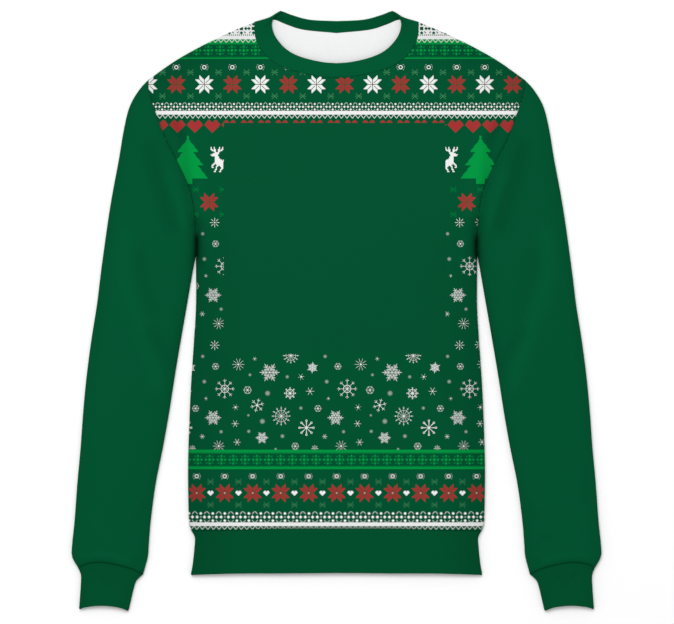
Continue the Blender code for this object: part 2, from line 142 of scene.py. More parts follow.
# The same for the cloth that lies on the surface: where it stands off it a little.
UNDER_CREASES = (
    (((206.0, 190.0), (186.0, 120.0), (150.0, 70.0)), 1.5, 12.0, 0.9),
    (((150.0, 250.0), (110.0, 170.0), (88.0, 90.0)), 1.0, 18.0, 0.7),
    (((262.0, 120.0), (262.0, 40.0), (240.0, -40.0)), 1.6, 11.0, 0.8),
    (((250.0, -150.0), (272.0, -200.0), (280.0, -250.0)), 1.2, 10.0, 1.1),
    (((60.0, -60.0), (95.0, -150.0), (120.0, -235.0)), 1.1, 17.0, 0.6),
    (((10.0, 220.0), (24.0, 120.0), (16.0, 20.0)), 0.8, 20.0, 1.2),
)
# Shadow that lies in the cloth's deepest places: its line, how dark it is, half its width.
SHADOWS = (
    (((175.0, 91.0), (174.8, 80.0), (175.2, 69.0)), 0.5, 4.2),
    (((176.0, 112.0), (175.5, 90.0), (176.0, 62.0)), 0.22, 9.0),
    (((178.0, 62.0), (181.0, 30.0), (190.0, -20.0), (200.0, -70.0)), 0.1, 8.0),
    (((232.0, 268.0), (213.5, 214.5), (186.5, 160.0), (177.0, 112.0)), 0.06, 6.0),
    (((203.0, 238.0), (192.0, 212.0), (188.0, 186.0), (184.0, 158.0)), 0.13, 6.5),
)
# Painted shade: how dark the cloth is painted beside its folds and how far that reaches; how much
# each millimetre of crease paints it darker in a trough and lighter on a ridge; and the share of the
# painted shade that the cloth below gets.
EDGE_SHADOW = {"body": (0.15, 34.0), "sleeve": (0.07, 11.0)}
CREASE_SHADOW, UNDER_SHADE = 0.055, 0.4
# Shade painted along a seam: half the width of its dark line, and the strength and half width of the
# softer shade around it.
SEAM_LINE, SEAM_SURROUND = 1.4, (0.3, 6.0)
# How much less painted shade the collar's front and back bands have; it can paint them lighter.
COLLAR_EXTRA_SHADE = (-0.18, -0.33)

# The cloth's slight waves: height, the lengths across and along of each of the two sines that
# make them, and a shift. The other half's are shifted too.
WAVES = ((0.22, 29.0, 61.0, np.inf, 37.0, 0.8), (0.13, 13.0, -23.0, 41.0, 17.0, 0.0))
HALVES_SHIFT = 2.1

# How deep the cloth rolls in at each seam, how wide, and how dark the shade painted along the seam
# is.
SEAM_ROLLS = {
    "front neck": (0.5, 3.2, 0.02),
    "back neck": (0.5, 3.2, 0.02),
    "armhole": (0.7, 3.2, 0.03),
    "hem": (0.7, 3.4, 0.08),
    "cuff": (1.1, 4.2, 0.19),
}

# How far the inside follows the cloth's dips, and the underside those of its seams.
INNER_DIP, UNDER_DIP = 0.6, 0.7
# How near a seam sets the way that the walls lean: wholly, and no longer at all.
SEAM_HOLD = (1.0, 8.0)

# Half way up the flattened tubes.
MIDDLE_HEIGHT = 3.5

# Cells of the walls.
NECK_CELLS, SHOULDER_CELLS, ARMHOLE_CELLS, SIDE_CELLS = 30, 36, 54, 82
HEM_SHARE_OF_NECK, NECK_SPREAD, ARMHOLE_EASE = 0.55, 190.0, 3.0
SLEEVE_CELLS, SLEEVE_ROUND_CELLS = 120, 34
CUFF_ROWS, WAISTBAND_ROWS, COLLAR_ROWS = 13, 13, 9
# Stations where the cloth turns over a fold, beside a seam and round a band's end.
ROLL = FOLD_RADIUS * (1 - np.cos(np.radians(np.linspace(0, 90, 7))))
SEAM_ROWS = np.array((0.0, 0.7, 1.5, 2.4, 3.5, 4.9))
RIM_TURNS = np.radians((30, 60, 90, 120, 150))
# Steps of a smooth line and of a slope, and the least distance from a fold.
LINE_STEPS, SLOPE_STEP, HAIR = 6, 0.4, 0.05
# The flat map's gaps, and how small the inside is on it.
MAP_GAP, INNER_MAP_SHARE = 4.0, 0.42

# Colours of the cloth and its print.
GROUND = (0.0008, 0.0768, 0.0275)
BLANK = (0.0012, 0.0746, 0.0275)
RIB = (0.0008, 0.0714, 0.0244)
BRIGHT = (0.0012, 0.263, 0.047)
FAINT = (0.055, 0.240, 0.100)
RED = (0.338, 0.030, 0.030)
WHITE = (0.780, 0.785, 0.780)
FLEECE = (0.785, 0.787, 0.790)


# ---------------------------------------------------------------- lines and grids


def smooth(points):
    """A Catmull-Rom line through the points."""
    knots = np.array(points, float)
    first, last = 2 * knots[0] - knots[1], 2 * knots[-1] - knots[-2]
    knots = np.vstack([first, knots, last])
    t = np.linspace(0, 1, LINE_STEPS, endpoint=False)[:, None]
    spans = []
    for a, b, c, d in zip(knots, knots[1:], knots[2:], knots[3:]):
        bend = (2 * a - 5 * b + 4 * c - d) * t**2 + (3 * b - a - 3 * c + d) * t**3
        spans.append(b + 0.5 * ((c - a) * t + bend))
    return np.vstack(spans + [knots[-2:-1]])


def reached(line):
    """The length of the line up to each of its points."""
    return np.concatenate([[0], np.cumsum(np.linalg.norm(np.diff(line, axis=0), axis=1))])


def shares(line):
    """The fraction of the line's length that each of its points has reached."""
    lengths = reached(line)
    return lengths / lengths[-1]


def along(line, fractions):
    """The points at these fractions of a line's length."""
    return np.stack([np.interp(fractions, shares(line), c) for c in line.T], axis=1)


def stations(length, cells, first=np.zeros(1), last=np.zeros(1)):
    """Fractions of a length: even cells, with finer ones at the ends where they are given."""
    even = np.linspace(first[-1], length - last[-1], cells + 1)
    return np.concatenate([first[:-1], even, (length - last)[::-1][1:]]) / length


def rib_stations(length, ribs, fold_first=True):
    """Fractions of a line from fold to fold, or from a centre line to a fold, for its ribs.

    A rib has four columns, evenly spaced round the fold as well.
    """
    quarter = FOLD_RADIUS * np.pi / 2
    spare = quarter - FOLD_RADIUS
    whole = length + spare * (2 if fold_first else 1)
    unrolled = np.linspace(0, whole, 4 * ribs + 1)
    flat = unrolled - (spare if fold_first else 0)
    if fold_first:
        turn = np.minimum(unrolled, quarter) / FOLD_RADIUS
        flat = np.where(unrolled < quarter, FOLD_RADIUS * (1 - np.cos(turn)), flat)
    rest = whole - unrolled
    turn = np.minimum(rest, quarter) / FOLD_RADIUS
    flat = np.where(rest < quarter, length - FOLD_RADIUS * (1 - np.cos(turn)), flat)
    return flat / length


# The folds, each one smooth line. The body's and the sleeve's start half a seam apart.
BODY_SIDE = smooth(
    [(UNDERARM[0] - SEAM_GAP / 2, UNDERARM[1])]
    + [(half_width, y) for y, half_width in BODY_SECTIONS]
    + [HEM_CORNER]
)
WAISTBAND_SIDE = smooth([HEM_CORNER] + [(half_width, y) for y, half_width in WAISTBAND_SECTIONS])
SLEEVE_INNER = smooth(
    [(UNDERARM[0] + SEAM_GAP / 2, UNDERARM[1])]
    + [(inner, y) for y, inner, outer in SLEEVE_SECTIONS]
    + [CUFF_INNER_CORNER]
)
SLEEVE_OUTER = smooth(
    list(SLEEVE_CAP_FOLD)
    + [(outer, y) for y, inner, outer in SLEEVE_SECTIONS]
    + [CUFF_OUTER_CORNER]
)
STRAP, SHOULDER = smooth(STRAP_FOLD), smooth(SHOULDER_FOLD)
CUFF_OUTER, CUFF_INNER = smooth(CUFF_OUTER_FOLD), smooth(CUFF_INNER_FOLD)
TOP_FOLD = np.vstack([STRAP, SHOULDER[1:], SLEEVE_OUTER[1:], CUFF_OUTER[1:]])
SIDE_FOLD = np.vstack([BODY_SIDE, WAISTBAND_SIDE[1:]])
ARM_FOLD = np.vstack([SLEEVE_INNER, CUFF_INNER[1:]])

SEAMS = {
    "front neck": smooth(FRONT_NECK_SEAM),
    "back neck": smooth(BACK_NECK_SEAM),
    "armhole": smooth(ARMHOLE),
    "hem": smooth(HEM_SEAM),
    "cuff": smooth(CUFF_SEAM),
}
BODY = ("body", (TOP_FOLD, SIDE_FOLD), np.array(BODY_LOFT))
SLEEVE = ("sleeve", (TOP_FOLD, ARM_FOLD), np.array(SLEEVE_LOFT))


def unit(vectors):
    """The vectors with a length of 1, or 0 where they have none."""
    size = np.linalg.norm(vectors, axis=-1, keepdims=True)
    return vectors / np.where(size > 1e-9, size, np.inf)


def nearest(points, line):
    """How far each point is from a line, the line's nearest point, and its piece there."""
    start, step = line[:-1], np.diff(line, axis=0)
    offset = points[:, None] - start
    share = (offset * step).sum(2) / (step**2).sum(1)
    foot = start + np.clip(share, 0, 1)[..., None] * step
    gaps = np.linalg.norm(points[:, None] - foot, axis=2)
    best = gaps.argmin(1)
    rows = np.arange(len(points))
    return gaps[rows, best], foot[rows, best], best


def on_the_half(points):
    """The points moved to the half that the tables give, and which were moved."""
    flipped = points[:, 0] < 0
    return np.where(flipped[:, None], points * (-1, 1), points), flipped


def patch(top, bottom, first, last, ease=1.0):
    """A grid of flat points between four lines (Coons): rows run from top to bottom.

    The higher the ease, the less the last line bends the columns far from it.
    """
    across = (0.5 * (shares(top) + shares(bottom))[None, :, None]) ** ease
    down = 0.5 * (shares(first) + shares(last))[:, None, None]
    bends = [line[:, None] - (1 - down) * line[0] - down * line[-1] for line in (first, last)]
    between_rows = (1 - down) * top[None] + down * bottom[None]
    return between_rows + (1 - across) * bends[0] + across * bends[1]


def eased(line, beside, first_on_fold=None, last_on_fold=None):
    """A seam's line drawn in by half the gap, towards the line beside it.

    An end that lies on a fold moves along that fold, to the point given for it.
    """
    run = unit(np.gradient(line, axis=0))
    across = np.stack([-run[:, 1], run[:, 0]], axis=1)
    across *= np.sign(((beside - line) * across).sum())
    ways = across.copy()
    if first_on_fold is not None:
        ways[0] = first_on_fold - line[0]
    if last_on_fold is not None:
        ways[-1] = last_on_fold - line[-1]
    return line + SEAM_GAP / 2 * ways / (ways * across).sum(1, keepdims=True)


def both_halves(plan):
    """A grid from the centre line to a fold, with its mirror image before it."""
    return np.concatenate([plan[:, :0:-1] * (-1, 1), plan], axis=1)


# ---------------------------------------------------------------- the cloth's form


def smooth_lines(table):
    """A table's rows, each with its line made smooth."""
    return [(smooth(line), *sizes) for line, *sizes in table]


def bell(gap, reach):
    """1 where the gap is 0, and less and less past the reach."""
    return np.exp(-((gap / reach) ** 2))


UPPER_CREASES, LOWER_CREASES = smooth_lines(CREASES), smooth_lines(UNDER_CREASES)
SHADOW_LINES = smooth_lines(SHADOWS)


def creased(points, flipped, fade, lines):
    """How far the creases lift these points."""
    lift = np.zeros(len(points))
    for line, height, width, share in lines:
        reach = 3 * width
        inside = (points > line.min(axis=0) - reach) & (points < line.max(axis=0) + reach)
        close = inside.all(axis=1)
        if close.any():
            gap = nearest(points[close], line)[0]
            side = np.where(flipped[close], share, 1)
            lift[close] += side * height * fade[close] * bell(gap, width)
    return lift


def unevenness(points, flipped):
    """The cloth's slight waves, different on each half."""
    x, y = points.T
    phase = np.where(flipped, HALVES_SHIFT, 0.0)
    return sum(
        height * np.sin(x / a + y / b + phase) * np.sin(x / c + y / d + shift)
        for height, a, b, c, d, shift in WAVES
    )


def rise(points, folds, loft):
    """How far the upper cloth stands above the top of its folded edge."""
    points, flipped = on_the_half(points)
    gaps = [nearest(points, fold)[0] + HAIR for fold in folds]
    inward = sum(gap**-2 for gap in gaps) ** -0.5
    share = 1 - (1 - np.minimum(inward / CROWN_REACH, 1)) ** 2
    heights = np.interp(points[:, 1], *loft.T) * share
    fade = 1 - bell(inward, CREASE_FADE)
    heights = heights + creased(points, flipped, fade, UPPER_CREASES)
    return heights + fade * unevenness(points, flipped)


def lifted_off(points, folds):
    """How far the cloth below stands off the surface."""
    points, flipped = on_the_half(points)
    inward = np.min([nearest(points, fold)[0] for fold in folds], axis=0)
    fade = 1 - bell(inward, CREASE_FADE)
    return np.maximum(creased(points, flipped, fade, LOWER_CREASES), 0)


def seam_dip(points, seams):
    """How far the cloth rolls in at its seams."""
    points, _ = on_the_half(points)
    dip = np.zeros(len(points))
    for name in seams:
        depth, reach, _ = SEAM_ROLLS[name]
        gap = nearest(points, SEAMS[name])[0]
        dip = np.maximum(dip, depth * np.clip(1 - gap / reach, 0, 1) ** 2)
    return dip


def shadow(points, region, seams):
    """The shade painted into the cloth's colour, from 0 to 1: darker at its hollows, seams, edges
    and crease troughs, lighter on crease ridges.
    """
    kind, folds, _ = region
    points, flipped = on_the_half(points)
    edge = np.min([nearest(points, fold)[0] for fold in folds], axis=0)
    dark, reach = EDGE_SHADOW[kind]
    shade = dark * bell(edge, reach)
    fade = 1 - bell(edge, CREASE_FADE)
    shade = shade - CREASE_SHADOW * creased(points, flipped, fade, UPPER_CREASES)
    for line, dark, width in SHADOW_LINES:
        shade = shade + dark * bell(nearest(points, line)[0], width)
    # Shade painted where the cloth rolls into its seams.
    for name in seams:
        gap = nearest(points, SEAMS[name])[0]
        share, reach = SEAM_SURROUND
        dark = bell(gap, SEAM_LINE) + share * bell(gap, reach)
        shade = shade + SEAM_ROLLS[name][2] * dark
    return shade


def seam_hold(points, names):
    """How firmly the nearest seam holds each point, and the way along it to a fold."""
    hold, way = np.zeros((len(points), 1)), np.zeros_like(points)
    for line in (SEAMS[name] for name in names):
        gap, _, piece = nearest(points, line)
        share = np.interp(gap, SEAM_HOLD, (1, 0))[:, None]
        outwards = np.where(piece < len(line) / 2, -1, 1)[:, None]
        outwards = outwards * unit(np.diff(line, axis=0))[piece]
        way = np.where(share > hold, outwards, way)
        hold = np.maximum(share, hold)
    return hold, way


def outward(points, fold, turn):
    """How far inside a fold each point is, and the smooth way out across it there."""
    gap, foot, piece = nearest(points, fold)
    run = unit(np.gradient(fold, axis=0))
    across = turn * np.stack([-run[:, 1], run[:, 0]], axis=1)
    start, end = fold[piece], fold[piece + 1]
    share = (np.linalg.norm(foot - start, axis=1) / np.linalg.norm(end - start, axis=1))[:, None]
    way = unit((1 - share) * across[piece] + share * across[piece + 1])
    reach = piece + share[:, 0]
    on_fold = (reach > 1e-9) & (reach < len(fold) - 1 - 1e-9)
    beyond = on_fold & (((points - foot) * way).sum(1) > 0)
    return np.where(beyond, -gap, gap), way


def fold_edge(plan, folds, seams):
    """How far a grid's points lean out at a fold, the way to it, and how the seams hold them.

    Beside a seam the way runs along it, so that the walls on its two sides stay apart.
    """
    points, flipped = on_the_half(plan.reshape(-1, 2))
    looks = [outward(points, fold, -1 if fold is ARM_FOLD else 1) for fold in folds]
    choice = np.argmin([abs(gap) for gap, _ in looks], axis=0)
    gap = np.choose(choice, [gap for gap, _ in looks])
    to_fold = np.choose(choice[:, None], [way for _, way in looks])
    hold, along_seam = seam_hold(points, seams)
    way = unit(hold * along_seam + (1 - hold) * to_fold)
    mirror = np.where(flipped[:, None], (-1, 1), (1, 1))
    lean = np.clip((FOLD_RADIUS - gap) / FOLD_RADIUS, 0, 1)[:, None]
    return lean, way * mirror, hold, along_seam * mirror


class Cloth:
    """One side of a flattened piece: grids of its outer and inner points and what lies on them.

    Place is where each point lies on the opened cloth, and shade is the shadow painted into its
    colour.
    """

    def __init__(self, outer, inner, place, shade):
        self.outer, self.inner, self.place, self.shade = outer, inner, place, shade

    def joined(self, below):
        """One tube from this side on top and the side below, which share their folds."""
        names = ("outer", "inner", "place", "shade")
        pairs = ((getattr(self, name), getattr(below, name)) for name in names)
        return Cloth(*(np.concatenate([up, down[:, -2:0:-1]], axis=1) for up, down in pairs))


def wall_cloth(plan, outer, inner, way, lean, shade):
    """The cloth over a grid of flat points. Its places are those with the fold opened out."""
    shape = plan.shape[:2]
    place = plan.reshape(-1, 2) + way * FOLD_RADIUS * (np.arcsin(lean) - lean)
    walls = [grid.reshape(*shape, -1) for grid in (outer, inner, place)]
    return Cloth(*walls, shade.reshape(shape))


def upper_wall(plan, region, seams, lift=0.0, tone=0.0):
    """The cloth on top, from its grid of flat points."""
    _, folds, loft = region
    points = plan.reshape(-1, 2)
    lean, way, hold, along_seam = fold_edge(plan, folds, seams)
    upright = np.sqrt(1 - lean**2)
    dip = seam_dip(points, seams) * upright[:, 0]
    rises = rise(points, folds, loft)
    height = FOLD_RADIUS * (1 + upright[:, 0]) + lift + rises - dip
    steps = np.array(((SLOPE_STEP, 0), (0, SLOPE_STEP)))
    slope = np.stack([rise(points + step, folds, loft) - rises for step in steps], axis=1)
    slope = slope / SLOPE_STEP
    held = (slope * along_seam).sum(1, keepdims=True) * along_seam
    slope = hold * held + (1 - hold) * slope
    normal = unit(np.hstack([way * lean - upright * slope, upright]))
    outer = np.hstack([points, height[:, None]])
    inner = outer - WALL * normal
    inner[:, 2] += INNER_DIP * dip
    # Its colour carries the painted shade, shifted by the extra shade given.
    return wall_cloth(plan, outer, inner, way, lean, shadow(points, region, seams) + tone)


def lower_wall(plan, region, seams, drop=0.0, tone=0.0):
    """The cloth that lies on the surface."""
    _, folds, _ = region
    points = plan.reshape(-1, 2)
    lean, way, _, _ = fold_edge(plan, folds, seams)
    upright = np.sqrt(1 - lean**2)
    off = lifted_off(points, folds) + UNDER_DIP * seam_dip(points, seams) * upright[:, 0]
    outer = np.hstack([points, (FOLD_RADIUS - drop) * (1 - upright) + off[:, None]])
    inner = outer - WALL * np.hstack([way * lean, -upright])
    inner[:, 2] -= INNER_DIP * off
    shade = UNDER_SHADE * shadow(points, region, seams) + tone
    return wall_cloth(plan, outer, inner, way, lean, shade)


# ---------------------------------------------------------------- meshes


def cells(grid, round_rows=False, round_columns=False):
    """A grid's cells as rows of four vertex numbers, with their rows and columns."""
    open_sides = np.array((not round_rows, not round_columns))
    r, c = (axis.ravel() for axis in np.indices(grid.shape - open_sides))
    rows = np.stack([r, r, r + 1, r + 1], axis=1)
    columns = np.stack([c, c + 1, c + 1, c], axis=1)
    return grid[rows % grid.shape[0], columns % grid.shape[1]], rows, columns


def new_piece(name, points, edges=(), faces=()):
    """A mesh object in the scene, from points in millimetres."""
    mesh = bpy.data.meshes.new(name)
    mesh.from_pydata(points * METRES, edges, faces)
    piece = bpy.data.objects.new(name, mesh)
    bpy.context.scene.collection.objects.link(piece)
    return piece


def side_by_side(islands):
    """Islands of a map, moved apart in rows so that they fill a square well."""
    sizes = np.array([np.ptp(island.reshape(-1, 2), axis=0) + MAP_GAP for island in islands])
    layouts = []
    for per_row in range(1, len(islands) + 1):
        rows = [sizes[k : k + per_row] for k in range(0, len(sizes), per_row)]
        heights = np.cumsum([0.0, *(row[:, 1].max() for row in rows)])
        width = max(row[:, 0].sum() for row in rows)
        row_starts = (np.cumsum([0.0, *row[:-1, 0]]) for row in rows)
        corners = [(x, y) for starts, y in zip(row_starts, heights) for x in starts]
        layouts.append((max(width, heights[-1]), corners))
    side, corners = min(layouts, key=lambda layout: layout[0])
    lows = (island.reshape(-1, 2).min(axis=0) for island in islands)
    moves = [np.array(corner) + MAP_GAP / 2 - low for corner, low in zip(corners, lows)]
    return [(island + move) / side for island, move in zip(islands, moves)]


def rounded_rim(outer, inner):
    """The rows of points round a wall's end, from its outer to its inner side."""
    middle, arm = 0.5 * (outer[-1] + inner[-1]), 0.5 * (outer[-1] - inner[-1])
    out = unit(outer[-1] - outer[-2]) * WALL / 2
    return np.stack([middle + arm * np.cos(t) + out * np.sin(t) for t in RIM_TURNS])


def shell(name, cloth, outside, inside, top_columns=None, round_rim=False, **columns_data):
    """A closed wall of cloth. With top_columns it is a tube, whose columns go around it."""
    tube = top_columns is not None
    rows, columns = cloth.outer.shape[:2]
    rim = [rounded_rim(cloth.outer, cloth.inner)] if round_rim else []
    points = np.concatenate([cloth.outer, *rim, cloth.inner[::-1]])
    turns = len(points) - 2 * rows
    numbers = np.arange(len(points) * columns).reshape(len(points), columns)
    rim_place, rim_shade = (np.repeat(grid[-1:], turns, 0) for grid in (cloth.place, cloth.shade))
    place = np.concatenate([cloth.place, rim_place, cloth.place[::-1]])
    shade = np.concatenate([cloth.shade, rim_shade, 0 * cloth.shade])

    # Its faces in groups, each with its corners on the flat map and its material.
    wall_faces, face_rows, face_columns = cells(numbers, round_rows=True, round_columns=tube)
    row = face_rows[:, 0]
    is_outer = row < rows - 1
    is_inner = (row >= rows + turns) & (row < 2 * rows + turns - 1)
    lower = face_columns[:, 0] >= (top_columns - 1 if tube else columns)
    groups = []
    for material, (chosen, scale) in enumerate(((is_outer, 1.0), (is_inner, INNER_MAP_SHARE))):
        for below in (False, True) if tube else (False,):
            faces = wall_faces[chosen & (lower == below)]
            corners = place.reshape(-1, 2)[faces] * (-1 if below else 1, 1)
            groups.append((faces, corners * scale, material))
    lengths = reached(place[0])
    lengths = np.append(lengths, lengths[-1] + MAP_GAP)
    for first in (rows - 1, 2 * rows + turns - 1):
        face = ~is_outer & ~is_inner & (row >= first) & (row < first + turns + 1)
        down = (face_rows[face] - first) * (WALL / (turns + 1))
        corners = np.stack([lengths[face_columns[face]], down], axis=-1)
        groups.append((wall_faces[face], corners, 0))
    for side, turn in () if tube else ((0, 1), (-1, -1)):
        edge = np.stack([numbers[:rows, side], numbers[::-1][:rows, side]])[::turn]
        faces, edge_rows, edge_columns = cells(edge)
        run = reached(cloth.outer[:, side])
        groups.append((faces, np.stack([run[edge_columns], edge_rows * WALL], axis=-1), 0))

    faces = np.concatenate([faces for faces, _, _ in groups])
    piece = new_piece(name, points.reshape(-1, 3), faces=faces.tolist())
    mesh = piece.data
    backwards = signed_volume(points.reshape(-1, 3), faces) < 0
    if backwards:
        mesh.flip_normals()
    for material in (outside, inside):
        mesh.materials.append(material)
    kinds = np.concatenate([np.full(len(faces), material) for faces, _, material in groups])
    mesh.polygons.foreach_set("material_index", kinds.astype(np.int32))
    flat = np.concatenate(side_by_side([corners for _, corners, _ in groups]))
    for title, corners in (("cloth", place.reshape(-1, 2)[faces] * METRES), ("OFBake", flat)):
        if backwards:
            corners = np.concatenate([corners[:, :1], corners[:, :0:-1]], axis=1)
        layer = mesh.uv_layers.new(name=title)
        layer.uv.foreach_set("vector", corners.reshape(-1).astype(np.float32))
    for title, values in {"shade": shade, **columns_data}.items():
        values = np.broadcast_to(values, (len(points), columns)).astype(np.float32)
        mesh.attributes.new(title, "FLOAT", "POINT").data.foreach_set("value", values.ravel())
    mesh.shade_smooth()
    mesh.validate()
    return piece


def signed_volume(points, faces):
    a, b, c, d = (points[faces[:, k]] for k in range(4))
    return (np.cross(a, b) * c).sum() + (np.cross(a, c) * d).sum()


# ---------------------------------------------------------------- nodes


def connect(graph, value, slot):
    """Links a socket or a field to a node's input, or sets a plain value on it."""
    if isinstance(value, Field):
        value = value.socket
    if isinstance(value, bpy.types.NodeSocket):
        graph.links.new(value, slot)
    else:
        slot.default_value = value


def add_node(graph, kind, inputs=None, **settings):
    """A new node's outputs. Its inputs are given by name or number."""
    node = graph.nodes.new(kind)
    for key, value in settings.items():
        setattr(node, key, value)
    for slot, value in (inputs or {}).items():
        connect(graph, value, node.inputs[slot])
    return node.outputs


def math_node(graph, operation, *values):
    numbers = dict(enumerate(values))
    return Field(graph, add_node(graph, "ShaderNodeMath", numbers, operation=operation)[0])


def vector_node(graph, operation, *values):
    vectors = dict(enumerate(values))
    outputs = add_node(graph, "ShaderNodeVectorMath", vectors, operation=operation)
    return outputs["Value" if operation == "DISTANCE" else "Vector"]


def arithmetic(operation):
    """A method of a field that adds one math node."""
    return lambda field, *others: math_node(field.graph, operation, field, *others)


class Field:
    """A number that changes over the cloth: a socket of a material's nodes, with arithmetic."""

    def __init__(self, graph, socket):
        self.graph, self.socket = graph, socket

    __add__, __sub__ = arithmetic("ADD"), arithmetic("SUBTRACT")
    __mul__, __truediv__ = arithmetic("MULTIPLY"), arithmetic("DIVIDE")
    __lt__, __gt__ = arithmetic("LESS_THAN"), arithmetic("GREATER_THAN")
    __abs__, root = arithmetic("ABSOLUTE"), arithmetic("SQRT")
    floor, fraction = arithmetic("FLOOR"), arithmetic("FRACT")
    largest, smallest = arithmetic("MAXIMUM"), arithmetic("MINIMUM")
    near, wrap = arithmetic("COMPARE"), arithmetic("WRAP")
    cosine, sine = arithmetic("COSINE"), arithmetic("SINE")
    angle_from, times_and_plus = arithmetic("ARCTAN2"), arithmetic("MULTIPLY_ADD")
    remainder = arithmetic("FLOORED_MODULO")

    def __rsub__(self, value):
        return math_node(self.graph, "SUBTRACT", value, self)

    def __rpow__(self, value):
        return math_node(self.graph, "POWER", value, self)

    def wrapped(self, pitch, start=0.0):
        """The distance to the nearest place of a row: start, and every pitch from there."""
        return self.wrap(start + pitch / 2, start - pitch / 2) - start

    def between(self, low, high):
        return (self > low) * (self < high)

    def outside(self):
        """1 where this is 0."""
        return 1.0 - self


def either(*fields):
    """1 where any of the fields is 1."""
    whole = fields[0]
    for field in fields[1:]:
        whole = whole.largest(field)
    return whole


# How near a whole number a chart's row is, and the most columns that a chart's line may have.
SAME_ROW, MOST_COLUMNS = 0.4, 20.0


def charted(column, row, chart):
    """1 where a chart has a stitch. Column and row count its stitches, as whole numbers."""
    line_bits = 0.0
    for k, line in enumerate(chart):
        bits = sum(2**n for n, mark in enumerate(line) if mark == "#")
        line_bits = row.near(float(k), SAME_ROW).times_and_plus(float(bits), line_bits)
    return (line_bits / 2.0 ** column.smallest(MOST_COLUMNS)).floor().remainder(2.0) > 0.5


# ---------------------------------------------------------------- the print's motifs

# A stitch of the print, and how far its eight-pointed stars reach.
STITCH, STAR_SIZE = 1.229, 5.9


def disc(u, v, radius):
    return u * u + v * v < radius**2


def cluster(u, v, size=1.0):
    """A small square with a diamond on each side and a stroke at each corner."""
    a, b = abs(u) / size, abs(v) / size
    beside = either(abs(a - 4.6) + b < 1.9, abs(b - 4.6) + a < 1.9)
    strokes = (abs(b - a - 0.4) < 0.65) * (a + b).between(5.9, 9.4)
    return either(a.largest(b) < 1.75, beside, strokes)


def lace(u, v, size):
    """Diamonds above, below and beside a dot, and slanting strokes to the next column's."""
    a, b = abs(u) / size, abs(v) / size
    diamonds = either(a + abs(b - 3.4) < 1.55, abs(a - 3.45) + b < 1.65)
    strokes = (abs(b - a * 1.1 + 0.55) < 0.42) * a.between(3.1, 5.3) * 0.85
    return either(diamonds, strokes, disc(a, b, 0.75) * 0.5)


def small_ring(u, v):
    """A ring with small dots beside it and at its corners."""
    a, b = abs(u), abs(v)
    ring = abs((a * a + b * b).root() - 2.1) < 0.52
    dots = either(disc(a - 4.5, b - 1.0, 0.45), disc(a - 3.3, b - 3.1, 0.5))
    return either(ring, dots * 0.7)


def faint_star(u, v, strength):
    """A slanting cross with a level stroke through it."""
    a, b = abs(u), abs(v)
    return either((abs(a - b) < 0.5) * (a < 3.5), (b < 0.42) * a.between(1.9, 4.2)) * strength


def in_stitches(distance, stitch):
    """The middle of the stitch that lies at this distance."""
    return ((distance / stitch).floor() + 0.5) * stitch


def rose(u, v):
    """An eight-pointed star of stitches: its petals, the whole of it, and its middle."""
    a, b = in_stitches(abs(u), STITCH), in_stitches(abs(v), STITCH)
    long, short = a.largest(b), a.smallest(b)
    whole = short.largest(long - short) < STAR_SIZE
    long_cut, short_cut = abs(u).largest(abs(v)), abs(u).smallest(abs(v))
    slit = either(short_cut < 0.42, (long_cut - short_cut < 0.55) * (long_cut > 1.8))
    return whole * slit.outside(), whole, long_cut < 0.85


def heart(u, v, size):
    """A heart of this size, with v down from its top."""
    a, v = abs(u) / (1.25 * size), v / (1.25 * size)
    over = ((a - 4.2) * 1.25).largest(2.9 - a * 1.1).largest(0.0)
    return (over < v) * (v < 12.8 - a)


def outlined_v(u, v, depth):
    """The outline of a small V with its tip down, v down from its top."""
    t = abs(u) + v * (3.44 / depth)
    return t.between(2.95, 3.9) * v.between(0.0, depth) * 0.9


# A leaping deer in stitches, and a fir tree of three even tiers under its tip.
DEER = (
    "#..#....#..#.",
    "#..#....#..#.",
    "##.##..##.##.",
    ".####..####..",
    "...##..##....",
    "....####.....",
    "..######.....",
    "#######......",
    ".######......",
    "....####.....",
    "....####.....",
    "....#####....",
    "....#######.#",
    "....#########",
    "....########.",
    "...#########.",
    "..##.#######.",
    ".##...######.",
    ".#...##..###.",
    ".##..#....##.",
    ".....#....##.",
    "....##...##..",
    "....#....#...",
    "...##...##...",
)
DEER_STITCH = 1.31
TREE_HEIGHT, TREE_STITCH, TRUNK_WIDTH = 60.0, 1.37, 5.6
TREE_SPIKE, TREE_TIER, TREE_TIERS = 5.0, 16.0, 3
TIER_SPREAD, TIER_STEP, SPIKE_WIDTH = 12.5, 5.5, 1.3


def tree(across, below):
    """A fir tree of stitches: a spike, even tiers and a trunk, below its tip."""
    across, below = in_stitches(abs(across), TREE_STITCH), in_stitches(below, TREE_STITCH)
    tiers_down = (below - TREE_SPIKE) / TREE_TIER
    tier = tiers_down.floor()
    spread = (tiers_down - tier) * TIER_SPREAD + tier * TIER_STEP + SPIKE_WIDTH
    tiers_end = TREE_SPIKE + TREE_TIERS * TREE_TIER
    spike = (across < SPIKE_WIDTH) * below.between(0.0, TREE_SPIKE)
    crown = (across < spread) * below.between(TREE_SPIKE, tiers_end)
    trunk = (across < TRUNK_WIDTH) * below.between(tiers_end, TREE_HEIGHT)
    return either(spike, crown, trunk)


